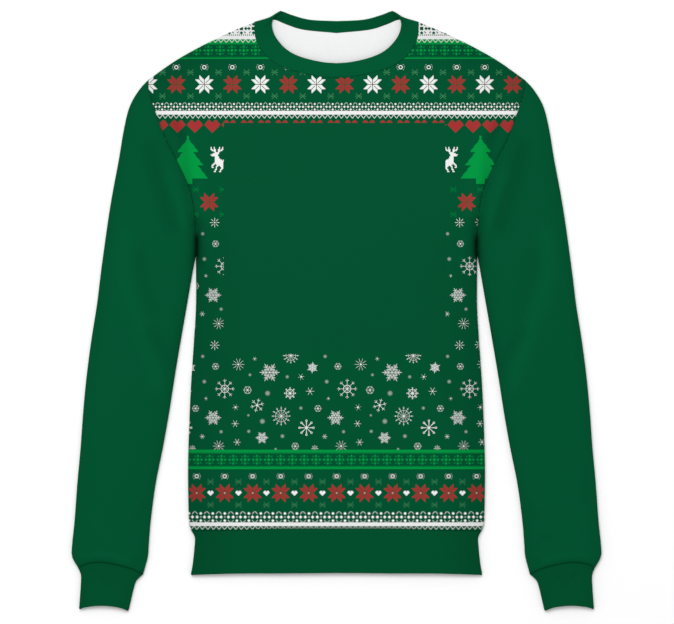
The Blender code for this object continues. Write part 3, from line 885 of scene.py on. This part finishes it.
# Snowflakes of one repeat: how each kind is drawn, and each one's place and radius.
FLAKE_REPEAT = (152.8, 153.0)
FLAKES = (
    (
        dict(arms=6, width=0.24, branches=((0.3, 0.3), (0.58, 0.24)), fill=0.28, core=0.08),
        ((-83.5, -77.0, 12.5), (-154.0, -133.5, 10.2), (-93.0, -158.5, 8.0)),
    ),
    (
        dict(arms=6, width=0.26, turn=0.45, branches=((0.4, 0.3),), fill=0.5, core=0.14),
        ((-30.0, -71.0, 7.0),),
    ),
    (
        dict(arms=8, width=0.26, ring=(0.38, 0.03, 1.0), branches=((0.76, 0.17),), core=0.09),
        ((-139.5, -97.5, 12.2),),
    ),
    (
        dict(arms=12, width=0.2, ring=(0.6, 0.03, 0.6), branches=((0.8, 0.08),), core=0.09),
        ((-69.0, -131.5, 12.0), (-57.0, -56.0, 10.0)),
    ),
    (dict(arms=10, width=0.2, start=0.3, core=0.17), ((-122.5, -67.0, 7.6), (-147.0, -169.0, 7.2))),
    (
        dict(arms=8, width=0.3, start=0.36, core=0.16),
        ((-152.0, -43.0, 6.0), (-127.0, -42.5, 6.0), (-27.1, -172.0, 4.2)),
    ),
    (
        dict(arms=6, width=0.18, ring=(0.8, 0.09, 0.45), core=0.2),
        ((-111.0, -99.0, 5.3), (-151.0, -69.5, 4.5), (-176.0, -122.0, 4.5), (-51.5, -169.0, 4.8)),
    ),
    (
        dict(arms=6, width=0.12, turn=0.2, core=0.28),
        ((-102.0, -60.0, 2.7), (-44.0, -82.5, 4.2), (-126.0, -120.5, 4.2), (-163.0, -109.5, 2.3)),
    ),
    (dict(arms=8, width=0.18, taper=0.055, core=0.17, loops=True), ((-37.5, -146.0, 10.0),)),
    (
        dict(arms=6, width=0.28, turn=0.26, branches=((0.62, 0.24),), core=0.16),
        ((-99.0, -118.0, 8.6),),
    ),
    (
        dict(arms=8, width=0.26, ring=(0.62, 0.08, 0.7), branches=((0.8, 0.14),), core=0.2),
        ((-58.0, -103.0, 7.6),),
    ),
    (
        dict(arms=6, width=0.22, core=0.16),
        ((-33.0, -100.5, 5.2), (-126.5, -141.0, 4.5), (-124.0, -164.0, 4.5), (-167.5, -157.0, 3.2)),
    ),
    (
        dict(arms=0),
        (
            (-167.0, -57.0, 2.5), (-108.0, -80.0, 2.1), (-61.5, -82.5, 2.4), (-165.0, -88.5, 2.8),
            (-86.0, -103.0, 3.6), (-110.0, -130.5, 1.8), (-44.5, -121.5, 2.4), (-92.5, -138.0, 3.6),
            (-144.0, -151.0, 2.4), (-109.5, -150.5, 2.4), (-67.5, -156.5, 2.8), (-76.0, -172.6, 1.8),
        ),
    ),
)
# How white flakes and soft dots are, the room round a flake, and the least radius of one.
FLAKE_WHITE, DOT_WHITE, FLAKE_ROOM, LEAST_RADIUS = 0.92, 0.38, 0.4, 0.5
# The slant and width of branches, and the loops at the ends of shortened arms.
BRANCH_WAY, BRANCH_HALF_WIDTH = (0.8, 0.6), 0.26
LOOP_PLACE, LOOP_SIZE, LOOP_HALF_WIDTH, LOOPED_ARM = 0.88, 0.1, 0.35, 0.8
# What fills a flake: how narrow its points are, and how near the middle it starts.
FILL_POINTS, FILL_START = 2.2, 0.2


def flake(
    u, v, radius, arms, width=0.0, turn=0.0, taper=0.0, start=0.0, core=0.0,
    ring=None, branches=(), fill=0.0, loops=False,
):
    """One snowflake, or without arms a soft dot.

    Its arms have a number, half width, turn, taper and start. Its ring has a place, half width
    and strength. Its branches leave the arms at a place, and each has a reach.
    """
    r = (u * u + v * v).root()
    share = r / radius
    if not arms:
        return (1.0 - share * share).largest(0.0) * DOT_WHITE
    half_turn = np.pi / arms
    folded = (v.angle_from(u) - turn).wrap(half_turn, -half_turn)
    a, b = r * folded.cosine(), abs(r * folded.sine())
    arm_end = LOOPED_ARM if loops else 1.0
    parts = [(b < a * taper + width) * share.between(start, arm_end), share < core]
    if ring is not None:
        place, half_width, strength = ring
        parts.append((abs(share - place) < half_width) * strength)
    for leaves, reach in branches:
        slanting = (a - radius * leaves) * BRANCH_WAY[0] - b * BRANCH_WAY[1]
        parts.append((abs(slanting) < BRANCH_HALF_WIDTH) * (b < radius * reach) * (share < 1.0))
    if fill:
        parts.append((a + b * FILL_POINTS < radius) * (share > FILL_START) * fill)
    if loops:
        c = a - radius * LOOP_PLACE
        parts.append(abs((c * c + b * b).root() - radius * LOOP_SIZE) < LOOP_HALF_WIDTH)
    return either(*parts) * FLAKE_WHITE


def snow(x, y):
    """Scattered snowflakes: how white they are."""
    graph = x.graph
    here = add_node(graph, "ShaderNodeCombineXYZ", {0: x, 1: y})[0]
    half = np.array(FLAKE_REPEAT) / 2
    figures = []
    for kind, places in FLAKES:
        found = (0.0, 0.0, 0.0)
        for across, up, radius in places:
            high = (across + half[0], up + half[1], 1.0)
            low = (across - half[0], up - half[1], -1.0)
            nearby = vector_node(graph, "WRAP", here, high, low)
            gap = Field(graph, vector_node(graph, "DISTANCE", nearby, (across, up, 0.0)))
            facts = (gap < radius + FLAKE_ROOM, (across, up, radius), found)
            found = vector_node(graph, "MULTIPLY_ADD", *facts)
        split = add_node(graph, "ShaderNodeSeparateXYZ", {0: found})
        centre_x, centre_y, radius = (Field(graph, socket) for socket in split)
        u = (x - centre_x).wrapped(FLAKE_REPEAT[0])
        v = (y - centre_y).wrapped(FLAKE_REPEAT[1])
        shown = radius > LEAST_RADIUS
        figures.append(flake(u, v, radius.largest(LEAST_RADIUS), **kind) * shown)
    return either(*figures)


# ---------------------------------------------------------------- the print

# The blank rectangle on the chest, and the field of snowflakes.
RECTANGLE = ((-140.75, 136.0), (-54.1, 234.6))
SNOW_FIELD = (-173.4, 119.6)
# Plain bands: bottom and top. Some are edged by a row of single stitches.
WHITE_BANDS = ((338.9, 400.0), (244.75, 249.4), (-268.75, -264.1))
BRIGHT_BANDS = ((333.0, 338.9), (314.4, 315.6), (-176.9, -173.4), (-197.7, -195.0))
DOTTED_BANDS = ((331.9, 333.0), (315.6, 316.8), (-178.3, -176.9), (-195.0, -193.6))
# What the topmost band leaves bare: single stitches, and clusters cut off at a level.
BARE_STITCHES, BARE_CLUSTERS = (343.4, 344.9), (345.2, 360.0)
BARE_ROW = (cluster, 15.0, -118.75, 352.3, 1.2)
# The stars' pitch and where one stands, at the yoke and above the hem, and the gaps between.
YOKE_STARS, YOKE_GAPS, YOKE_STAR_LEVEL = (35.0, -200.0), (35.0, -217.25), 282.5
WHITE_STARS, WHITE_STAR_REACH = (70.0, -235.1), 17.5
HEM_STARS, HEM_GAPS, HEM_STAR_LEVEL, HEM_STAR_MIDDLE = (34.93, -174.5), (34.93, -157.25), -227.5, 0.5
# Rows: what is repeated, its pitch, where one stands, its level and its own sizes.
WHITE_ROWS = (
    (outlined_v, 6.87, -151.25, 338.9, 4.2),
    (outlined_v, 6.87, -117.5, 244.75, 4.8),
    (outlined_v, 6.95, -167.5, -268.75, 4.4),
    (small_ring, *YOKE_STARS, 303.9),
    (small_ring, *HEM_STARS, -206.6),
    (lace, 11.2, -116.75, 254.5, 1.0),
    (lace, 15.0, -169.4, -257.5, 1.33),
    (heart, *HEM_GAPS, -224.4, 0.42),
)
BRIGHT_ROWS = ((cluster, 14.75, -160.1, 325.0), (cluster, 14.75, -173.1, -185.9))
RED_ROWS = ((heart, 21.69, -220.1, 237.9, 1.0),)
FAINT_ROWS = (
    (faint_star, *YOKE_GAPS, 297.5, 1.0),
    (faint_star, *YOKE_GAPS, 267.75, 1.0),
    (faint_star, *HEM_GAPS, -213.4, 0.8),
    (faint_star, *HEM_GAPS, -242.25, 0.8),
)
# The trees, deer and single stars beside the rectangle, measured from their own middle line.
TREE_MIDDLE, TREE_PLACE, TREE_TOP = -2.9, 182.5, 218.4
DEER_PLACE, DEER_TOP = 154.2, 204.4
STAR_MIDDLE, STAR_PLACE, STAR_LEVEL, STAR_REACH = 1.8, 160.7, 135.5, 14.0
SIDE_STAR_PLACES, SIDE_STAR_LEVELS, SIDE_STAR_STRENGTH = (144.0, 177.6), (151.2, 120.3), 0.6


def printed(x, y, blank):
    """The print of a body panel: where its white, bright green, red and faint colours are."""

    def row(motif, pitch, place, level, *sizes):
        return motif(x.wrapped(pitch, place), level - y, *sizes)

    single = (x / STITCH).floor().remainder(2.0) > 0.5
    tables = (WHITE_ROWS, BRIGHT_ROWS, RED_ROWS, FAINT_ROWS)
    white, bright, red, faint = ([row(*line) for line in table] for table in tables)
    white += [y.between(*band) for band in WHITE_BANDS]
    bright += [y.between(*band) for band in BRIGHT_BANDS]
    bright += [y.between(*band) * single for band in DOTTED_BANDS]

    petals, whole, middle = rose(x.wrapped(*YOKE_STARS), YOKE_STAR_LEVEL - y)
    is_white = abs(x.wrapped(*WHITE_STARS)) < WHITE_STAR_REACH
    white.append(petals * is_white * middle.outside())
    red.append(either(petals * is_white.outside(), middle * whole * is_white))
    petals, whole, middle = rose(x.wrapped(*HEM_STARS), HEM_STAR_LEVEL - y)
    red.append(petals)
    white.append(middle * whole * HEM_STAR_MIDDLE)

    from_middle = abs(x - TREE_MIDDLE)
    bright.append(tree(from_middle - TREE_PLACE, TREE_TOP - y))
    column = ((DEER_PLACE - from_middle) / DEER_STITCH).floor()
    line = ((DEER_TOP - y) / DEER_STITCH).floor()
    white.append(charted(column, line, DEER) * column.between(-0.5, len(DEER[0]) - 0.5))
    from_middle = abs(x - STAR_MIDDLE)
    beside = from_middle - STAR_PLACE
    red.append(rose(beside, STAR_LEVEL - y)[0] * (abs(beside) < STAR_REACH))
    for level in SIDE_STAR_LEVELS:
        for place in SIDE_STAR_PLACES:
            bright.append(faint_star(from_middle - place, level - y, SIDE_STAR_STRENGTH))

    white.append(snow(x, y) * y.between(*SNOW_FIELD))
    bare = either(row(*BARE_ROW) * y.between(*BARE_CLUSTERS), y.between(*BARE_STITCHES) * single)
    fields = [either(*white) * bare.outside(), either(*bright), either(*red), either(*faint)]
    return fields if blank is None else [field * blank.outside() for field in fields]


# ---------------------------------------------------------------- materials


def new_material(name, roughness, sheen=0.0, tint=(0.1, 0.75, 0.4, 1.0)):
    material = bpy.data.materials.new(name)
    material.use_nodes = True
    graph = material.node_tree
    shader = graph.nodes["Principled BSDF"]
    finish = {"Roughness": roughness, "Specular IOR Level": 0.01}
    finish.update({"Sheen Weight": sheen, "Sheen Roughness": 0.55, "Sheen Tint": tint})
    for slot, value in finish.items():
        shader.inputs[slot].default_value = value
    return material, graph, shader


def attribute(graph, name):
    return Field(graph, add_node(graph, "ShaderNodeAttribute", attribute_name=name)["Fac"])


def object_place(graph):
    return add_node(graph, "ShaderNodeTexCoord")["Object"]


def noise(graph, scale, detail=2.0):
    inputs = {"Scale": scale, "Detail": detail, "Vector": object_place(graph)}
    return Field(graph, add_node(graph, "ShaderNodeTexNoise", inputs)["Fac"])


def mixed(graph, share, first, second):
    """The second colour over the first, by this share."""
    colors = [c if isinstance(c, bpy.types.NodeSocket) else (*c, 1.0) for c in (first, second)]
    inputs = {"Factor": share, 6: colors[0], 7: colors[1]}
    return add_node(graph, "ShaderNodeMix", inputs, data_type="RGBA")[2]


def toned(color, amount):
    return tuple(amount * part for part in color)


def finish_cloth(graph, shader, color, height, strength, distance):
    """Gives a shader its colour and a fine relief."""
    inputs = {"Strength": strength, "Distance": distance, "Height": height}
    relief = add_node(graph, "ShaderNodeBump", inputs)[0]
    connect(graph, color, shader.inputs["Base Color"])
    connect(graph, relief, shader.inputs["Normal"])


def knitted(x, y, wale=1.25, course=1.0):
    """The height of plain knit: columns of small V-shaped stitches."""
    side = abs((x / wale).fraction() - 0.5) * 2.0
    leg = (y / course + side * 0.8).fraction() * 2.0 - 1.0
    return (leg * leg).outside() * (side * side * side).outside()


def jersey(name, with_print=False, blank_rectangle=False):
    """Dyed jersey, printed where it is a body panel."""
    material, graph, shader = new_material(name, 0.88, 0.015)
    uv = add_node(graph, "ShaderNodeUVMap", uv_map="cloth")[0]
    split = add_node(graph, "ShaderNodeSeparateXYZ", {0: uv})
    x, y = (Field(graph, socket) * MILLIMETRES for socket in list(split)[:2])
    color = GROUND
    if with_print:
        (left, right), (low, high) = RECTANGLE
        blank = x.between(left, right) * y.between(low, high) if blank_rectangle else None
        white, bright, red, faint = printed(x, y, blank)
        if blank is not None:
            color = mixed(graph, blank, color, BLANK)
        for share, ink in ((faint, FAINT), (bright, BRIGHT), (red, RED), (white, WHITE)):
            color = mixed(graph, share, color, ink)
    else:
        color = mixed(graph, noise(graph, 3.0), color, toned(GROUND, 1.03))
    knit = knitted(x, y)
    mottle = noise(graph, 900.0, 3.0) * 0.1 + 0.95
    # Darkens the colour by the shade painted on the cloth and by random mottling, and a little
    # between the knit's stitches as painted shade of their relief.
    amount = attribute(graph, "shade").outside() * mottle * (knit * 0.06 + 0.96)
    color = vector_node(graph, "MULTIPLY", color, amount)
    finish_cloth(graph, shader, color, knit + noise(graph, 1500.0) * 0.5, 0.35, 0.00018)
    return material


def rib_material():
    material, graph, shader = new_material("rib_knit", 0.9, 0.015)
    wave = attribute(graph, "rib_wave")
    mottle = noise(graph, 800.0, 3.0) * 0.1 + 0.95
    color = mixed(graph, noise(graph, 2.5), RIB, toned(RIB, 1.04))
    # Darkens the colour by the shade painted on the cloth and by random mottling, and a little in
    # the valleys between ribs as painted shade.
    amount = attribute(graph, "shade").outside() * mottle * (wave * 0.035 + 0.985)
    color = vector_node(graph, "MULTIPLY", color, amount)
    finish_cloth(graph, shader, color, noise(graph, 1300.0), 0.4, 0.0002)
    return material


def fleece_material():
    """The brushed inside of the cloth."""
    material, graph, shader = new_material("brushed_fleece", 0.95, 0.12, (1.0, 1.0, 1.0, 1.0))
    tufts, broad = noise(graph, 420.0, 4.0), noise(graph, 60.0, 2.0)
    color = mixed(graph, broad, FLEECE, toned(FLEECE, 0.97))
    color = vector_node(graph, "MULTIPLY", color, tufts * 0.1 + broad * 0.06 + 0.92)
    finish_cloth(graph, shader, color, tufts + broad, 0.5, 0.0005)
    return material


def thread_material():
    """Sewing thread, two plies twisted."""
    material, graph, shader = new_material("sewing_thread", 0.6, 0.1)
    inputs = {"Scale": 900.0, "Vector": object_place(graph)}
    wave = add_node(graph, "ShaderNodeTexWave", inputs, bands_direction="DIAGONAL")
    ply = Field(graph, wave["Fac"])
    finish_cloth(graph, shader, mixed(graph, ply, toned(RIB, 0.8), RIB), ply, 0.5, 0.0001)
    return material


def floor_material():
    material, _, shader = new_material("pale_floor", 0.9)
    shader.inputs["Base Color"].default_value = (0.97, 0.97, 0.97, 1.0)
    return material


# ---------------------------------------------------------------- geometry nodes


def node_tree(name, inputs):
    """A tree of geometry nodes with a geometry input and these named inputs."""
    graph = bpy.data.node_groups.new(name, "GeometryNodeTree")
    kinds = {"Geometry": "NodeSocketGeometry", "Material": "NodeSocketMaterial"}
    for title in ("Geometry", *inputs):
        kind = kinds.get(title, "NodeSocketFloat")
        graph.interface.new_socket(title, in_out="INPUT", socket_type=kind)
    graph.interface.new_socket("Geometry", in_out="OUTPUT", socket_type=kinds["Geometry"])
    return graph, add_node(graph, "NodeGroupInput")


def finished(graph, geometry, material):
    """Ends a tree with real geometry and its material."""
    real = add_node(graph, "GeometryNodeRealizeInstances", {0: geometry})
    inputs = {"Geometry": real[0], "Material": material}
    done = add_node(graph, "GeometryNodeSetMaterial", inputs)
    add_node(graph, "NodeGroupOutput", {0: done[0]})
    return graph


def carried(graph, name, kind):
    """What the points carry under a name."""
    return add_node(graph, "GeometryNodeInputNamedAttribute", {"Name": name}, data_type=kind)[0]


def rib_tree():
    """Raises the cloth into ribs, by the wave that its points carry."""
    graph, start = node_tree("rib_relief", ("Height", "Material"))
    wave = carried(graph, "rib_wave", "FLOAT")
    height = add_node(graph, "ShaderNodeMath", {0: wave, 1: start["Height"]}, operation="MULTIPLY")
    normal = add_node(graph, "GeometryNodeInputNormal")
    inputs = {0: normal[0], "Scale": height[0]}
    offset = add_node(graph, "ShaderNodeVectorMath", inputs, operation="SCALE")
    inputs = {"Geometry": start["Geometry"], "Offset": offset[0]}
    moved = add_node(graph, "GeometryNodeSetPosition", inputs)
    return finished(graph, moved[0], start["Material"])


def stitch_tree():
    """Sews thread along a path: small lozenges, across the seam or along it."""
    graph, start = node_tree("seam_stitches", ("Pitch", "Length", "Thickness", "Turn", "Material"))
    curve = add_node(graph, "GeometryNodeMeshToCurve", {0: start["Geometry"]})
    inputs = {"Curve": curve[0], "Length": start["Pitch"]}
    spaced = add_node(graph, "GeometryNodeResampleCurve", inputs, mode="LENGTH")
    align = "FunctionNodeAlignRotationToVector"
    upright = add_node(graph, align, {"Vector": carried(graph, "up", "FLOAT_VECTOR")}, axis="Z")
    inputs = {"Rotation": upright[0], "Vector": add_node(graph, "GeometryNodeInputTangent")[0]}
    turned = add_node(graph, align, inputs, axis="X", pivot_axis="Z")
    spin = add_node(graph, "ShaderNodeCombineXYZ", {2: start["Turn"]})
    inputs = {"Rotation": turned[0], "Rotate By": spin[0]}
    rotation = add_node(graph, "FunctionNodeRotateRotation", inputs, rotation_space="LOCAL")
    inputs = {"Segments": 6, "Rings": 5, "Radius": 0.5}
    ball = add_node(graph, "GeometryNodeMeshUVSphere", inputs)
    inputs = {0: start["Length"], 1: start["Thickness"], 2: start["Thickness"]}
    size = add_node(graph, "ShaderNodeCombineXYZ", inputs)
    shaped = add_node(graph, "GeometryNodeTransform", {"Geometry": ball[0], "Scale": size[0]})
    lozenge = add_node(graph, "GeometryNodeSetShadeSmooth", {"Geometry": shaped[0]})
    inputs = {"Points": spaced[0], "Instance": lozenge[0], "Rotation": rotation[0]}
    placed = add_node(graph, "GeometryNodeInstanceOnPoints", inputs)
    return finished(graph, placed[0], start["Material"])


def with_tree(piece, nodes, **inputs):
    """Runs a tree on a piece and keeps its result as a plain mesh."""
    modifier = piece.modifiers.new(nodes.name, "NODES")
    modifier.node_group = nodes
    for item in nodes.interface.items_tree:
        if item.in_out == "INPUT" and item.name in inputs:
            modifier[item.identifier] = inputs[item.name]
    depsgraph = bpy.context.evaluated_depsgraph_get()
    mesh = bpy.data.meshes.new_from_object(
        piece.evaluated_get(depsgraph), preserve_all_data_layers=True, depsgraph=depsgraph
    )
    piece.modifiers.remove(modifier)
    old, piece.data = piece.data, mesh
    bpy.data.meshes.remove(old)
    mesh.name = piece.name
    return piece


# ---------------------------------------------------------------- the pieces


def length_of(line):
    return reached(line)[-1]


def crossing_points(line, count):
    """The points of a line that runs across an arm's tube, from fold to fold."""
    return along(line, stations(length_of(line), count, ROLL, ROLL))


def neck_points(line):
    return along(line, stations(length_of(line), NECK_CELLS, last=ROLL))


def hem_points(line):
    """Points under the neck's, evenly spaced, and then under the shoulder's."""
    length = length_of(line)
    inner = HEM_SHARE_OF_NECK * length
    count = len(neck_points(line))
    outer = stations(length - inner, SHOULDER_CELLS, last=ROLL) * (length - inner)
    return along(line, np.concatenate([np.linspace(0, inner, count), inner + outer[1:]]) / length)


def body_plan(neck_seam):
    """The flat grid of one half of a body panel, and where its neck and armhole end."""
    neck = neck_points(neck_seam)
    shoulder = along(SHOULDER, stations(length_of(SHOULDER), SHOULDER_CELLS, last=ROLL))
    top = np.vstack([neck, shoulder[1:]])
    bottom = hem_points(SEAMS["hem"])
    side = along(BODY_SIDE, stations(length_of(BODY_SIDE), SIDE_CELLS, last=SEAM_ROWS))
    armhole = crossing_points(SEAMS["armhole"], ARMHOLE_CELLS)
    edge = np.vstack([armhole[:-1], side])
    share = (edge[0, 1] - edge[:, 1]) / (edge[0, 1] - edge[-1, 1])
    middle = top[0] + share[:, None] * (bottom[0] - top[0])
    plan = patch(top, bottom, middle, edge, ARMHOLE_EASE)
    steepness = np.maximum.accumulate(unit(np.gradient(neck, axis=0))[:, 1])
    sideways = np.concatenate([steepness, steepness[-1] * (1 - shares(shoulder)[1:])])
    plan[..., 0] += NECK_SPREAD * np.outer(share * (1 - share) ** 2, sideways)
    return plan, len(neck), len(armhole)


def body_panel(name, neck, wall, outside, inside, **shift):
    """A front or back panel: neck, armholes and hem are drawn in from their seams."""
    plan, neck_end, armhole_end = body_plan(SEAMS[neck])
    neck_line = eased(plan[0, :neck_end], plan[1, :neck_end], None, plan[0, neck_end])
    armhole_line = eased(plan[:armhole_end, -1], plan[:armhole_end, -2], plan[0, -2])
    hem_line = eased(plan[-1], plan[-2], None, plan[-2, -1])
    plan[0, :neck_end], plan[-1] = neck_line, hem_line
    plan[: armhole_end - 1, -1] = armhole_line[:-1]
    cloth = wall(both_halves(plan), BODY, (neck, "armhole", "hem"), **shift)
    return shell(name, cloth, outside, inside)


def tube(plan, region, seams):
    """The cloth of a flattened tube, from one grid for its two sides."""
    return upper_wall(plan, region, seams).joined(lower_wall(plan, region, seams))


def sleeve(name, side, outside, inside):
    """A sleeve: its rings run from the armhole to the cuff's seam."""
    top = crossing_points(SEAMS["armhole"], SLEEVE_ROUND_CELLS)
    bottom = crossing_points(SEAMS["cuff"], SLEEVE_ROUND_CELLS)
    rows = stations(length_of(SLEEVE_OUTER), SLEEVE_CELLS, SEAM_ROWS, SEAM_ROWS)
    top[-1] = SLEEVE_INNER[0]
    plan = patch(top, bottom, along(SLEEVE_OUTER, rows), along(SLEEVE_INNER, rows))
    plan[0] = eased(plan[0], plan[1], plan[1, 0], plan[1, -1])
    plan[-1] = eased(plan[-1], plan[-2], plan[-2, 0], plan[-2, -1])
    cloth = tube(plan * (side, 1), SLEEVE, ("armhole", "cuff"))
    return shell(name, cloth, outside, inside, top_columns=plan.shape[1]), cloth


def rib_count(seam):
    return round(length_of(seam) / RIB_PITCH)


def rib_points(line, ribs, fold_first=True):
    return along(line, rib_stations(length_of(line), ribs, fold_first))


def open_ended(plan):
    """Leaves room in a band's last row for its rounded edge."""
    plan[-1] -= WALL / 2 * unit(plan[-1] - plan[-2])
    return plan


def ribbed(name, cloth, top_columns, material):
    """A ribbed band round an opening. Its ribs' relief repeats every four columns."""
    wave = np.cos(np.arange(cloth.outer.shape[1]) * np.pi / 2)
    piece = shell(name, cloth, material, material, top_columns, round_rim=True, rib_wave=wave)
    return with_tree(piece, RIB_TREE, Height=RIB_HEIGHT * METRES, Material=material), cloth


def cuff(name, side, material):
    """A cuff: its rings run from the sleeve's seam to the wrist."""
    ribs = rib_count(SEAMS["cuff"])
    top, bottom = rib_points(SEAMS["cuff"], ribs), rib_points(smooth(CUFF_EDGE), ribs)
    rows = stations(length_of(CUFF_OUTER), CUFF_ROWS, SEAM_ROWS)
    plan = patch(top, bottom, along(CUFF_OUTER, rows), along(CUFF_INNER, rows))
    plan[0] = eased(plan[0], plan[1], plan[1, 0], plan[1, -1])
    cloth = tube(open_ended(plan) * (side, 1), SLEEVE, ("cuff",))
    return ribbed(name, cloth, plan.shape[1], material)


def band_plan(seam, edge, fold, ribs, count):
    """The grid of a band that crosses the centre line, from its seam to its open edge."""
    top, bottom = rib_points(seam, ribs, False), rib_points(smooth(edge), ribs, False)
    rows = stations(length_of(fold), count, SEAM_ROWS)
    middle = top[0] + rows[:, None] * (bottom[0] - top[0])
    plan = patch(top, bottom, middle, along(fold, rows))
    plan[0] = eased(plan[0], plan[1], None, plan[1, -1])
    return both_halves(open_ended(plan))


def waistband(material):
    """The band under the hem seam."""
    seam = SEAMS["hem"]
    plan = band_plan(seam, HEM_EDGE, WAISTBAND_SIDE, rib_count(seam), WAISTBAND_ROWS)
    return ribbed("waistband_knit", tube(plan, BODY, ("hem",)), plan.shape[1], material)


def neck_rib(material):
    """The collar: its front band lies on its back band, folded at the shoulders."""
    walls = []
    bands = (("front neck", FRONT_NECK_EDGE, upper_wall), ("back neck", BACK_NECK_EDGE, lower_wall))
    ribs = rib_count(SEAMS["front neck"])
    # Each band's painted shade is shifted by its own amount.
    for (seam, edge, wall), tone in zip(bands, COLLAR_EXTRA_SHADE):
        plan = band_plan(SEAMS[seam], edge, STRAP[::-1], ribs, COLLAR_ROWS)
        walls.append(wall(plan, BODY, (seam,), tone=tone))
    front_band, back_band = walls
    return ribbed("neck_rib_knit", front_band.joined(back_band), plan.shape[1], material)


def stitches(name, cloth, row=0, turn=np.pi / 2, sink=THREAD_SINK):
    """Thread sewn along a row of a tube, across the seam or along it."""
    ring, beside = cloth.outer[row], cloth.outer[row + 1]
    run = unit(np.roll(ring, -1, axis=0) - np.roll(ring, 1, axis=0))
    up = unit(np.cross(run, beside - ring))
    if (up[:, 2] * (ring[:, 2] - MIDDLE_HEIGHT)).sum() < 0:
        up = -up
    count = len(ring)
    edges = [(k, (k + 1) % count) for k in range(count)]
    piece = new_piece(name, ring - up * sink, edges)
    layer = piece.data.attributes.new("up", "FLOAT_VECTOR", "POINT")
    layer.data.foreach_set("vector", up.astype(np.float32).ravel())
    sizes = {"Pitch": THREAD_PITCH, "Length": THREAD_LENGTH, "Thickness": THREAD}
    inputs = {title: size * METRES for title, size in sizes.items()}
    return with_tree(piece, STITCH_TREE, Turn=turn, Material=THREAD_MATERIAL, **inputs)


# ---------------------------------------------------------------- camera, light and floor

# In metres, but for the sensor's width in millimetres and the softbox's power in watts.
CAMERA_PLACE, VIEW_WIDTH, VIEW_DEPTH, SENSOR = (0.0006, -0.0016, 5.5), 0.8425, 20.0, 36.0
SOFTBOX_PLACE, SOFTBOX_SIZE, SOFTBOX_POWER = (-0.5, 1.3, 2.8), (2.2, 1.6), 55.0
ROOM_LIGHT = 0.66
# In millimetres.
FLOOR_REACH = 6000.0


def camera():
    """A long lens straight above, with the whole sweater in view."""
    data = bpy.data.cameras.new("camera")
    data.sensor_width = SENSOR
    data.lens = SENSOR * CAMERA_PLACE[2] / VIEW_WIDTH
    data.clip_end = VIEW_DEPTH
    eye = bpy.data.objects.new("camera", data)
    eye.location = CAMERA_PLACE
    bpy.context.scene.collection.objects.link(eye)
    bpy.context.scene.camera = eye


def lights():
    """Even white light, and one softbox above the collar that faces the sweater's middle."""
    scene = bpy.context.scene
    scene.view_settings.view_transform = "Standard"
    scene.world = bpy.data.worlds.new("studio")
    scene.world.use_nodes = True
    background = scene.world.node_tree.nodes["Background"]
    background.inputs["Color"].default_value = (1.0, 1.0, 1.0, 1.0)
    background.inputs["Strength"].default_value = ROOM_LIGHT
    data = bpy.data.lights.new("softbox", "AREA")
    data.shape = "RECTANGLE"
    data.size, data.size_y = SOFTBOX_SIZE
    data.energy = SOFTBOX_POWER
    box = bpy.data.objects.new("softbox", data)
    box.location = SOFTBOX_PLACE
    x, y, z = -np.array(box.location)
    box.rotation_euler = (np.arctan2(np.hypot(x, y), -z), 0.0, np.arctan2(y, x) - np.pi / 2)
    scene.collection.objects.link(box)


def floor():
    corners = np.array(((-1, -1, 0), (1, -1, 0), (1, 1, 0), (-1, 1, 0))) * FLOOR_REACH
    piece = new_piece("floor", corners, faces=[(0, 1, 2, 3)])
    piece.data.materials.append(floor_material())


# ---------------------------------------------------------------- all together

camera()
lights()
floor()

RIB_TREE, STITCH_TREE = rib_tree(), stitch_tree()
RIB_KNIT, THREAD_MATERIAL, INSIDE = rib_material(), thread_material(), fleece_material()
PLAIN = jersey("green_jersey")
FRONT_PRINT, BACK_PRINT = jersey("front_print", True, True), jersey("back_print", True)

front = body_panel("front_knit", "front neck", upper_wall, FRONT_PRINT, INSIDE, lift=SEAM_GAP / 2)
back = body_panel("back_knit", "back neck", lower_wall, BACK_PRINT, INSIDE, drop=SEAM_GAP / 2)
hem_band, hem_cloth = waistband(RIB_KNIT)
collar, collar_cloth = neck_rib(RIB_KNIT)
hem_stitches = stitches("hem_stitches", hem_cloth)
neck_stitches = stitches("neck_stitches", collar_cloth)

# Flat sizes of the cut pieces, in metres: width, length and area.
FRONT_CUT, BACK_CUT = (0.472, 0.633, 0.225), (0.472, 0.633, 0.235)
SLEEVE_CUT, CUFF_CUT = (0.385, 0.600, 0.112), (0.150, 0.052, 0.0071)
WAISTBAND_CUT, COLLAR_CUT = (0.728, 0.056, 0.0390), (0.455, 0.019, 0.0076)

dressed = [
    (front, "front_panel", "jersey", FRONT_CUT, ["back_knit"], [neck_stitches]),
    (back, "back_panel", "jersey", BACK_CUT, ["floor"], []),
    (hem_band, "waistband", "rib", WAISTBAND_CUT, ["floor"], [hem_stitches]),
    (collar, "neck_rib", "rib", COLLAR_CUT, ["floor"], []),
]
for side_name, side in (("left", 1), ("right", -1)):
    arm, arm_cloth = sleeve(f"{side_name}_sleeve_knit", side, PLAIN, INSIDE)
    band, band_cloth = cuff(f"{side_name}_cuff_knit", side, RIB_KNIT)
    armhole = stitches(f"{side_name}_armhole_stitches", arm_cloth)
    joined = stitches(f"{side_name}_cuff_stitches", band_cloth)
    title = f"{side_name}_cuff_topstitches"
    second = stitches(title, band_cloth, TOPSTITCH_ROW, 0.0, TOPSTITCH_SINK)
    dressed.append((arm, f"{side_name}_sleeve", "jersey", SLEEVE_CUT, ["floor"], [armhole]))
    dressed.append((band, f"{side_name}_cuff", "rib", CUFF_CUT, ["floor"], [joined, second]))

for piece, node, slot, (width, length, area), rests_on, sewn_on in dressed:
    for part in (piece, *sewn_on):
        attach(part, "root")
    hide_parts(node)
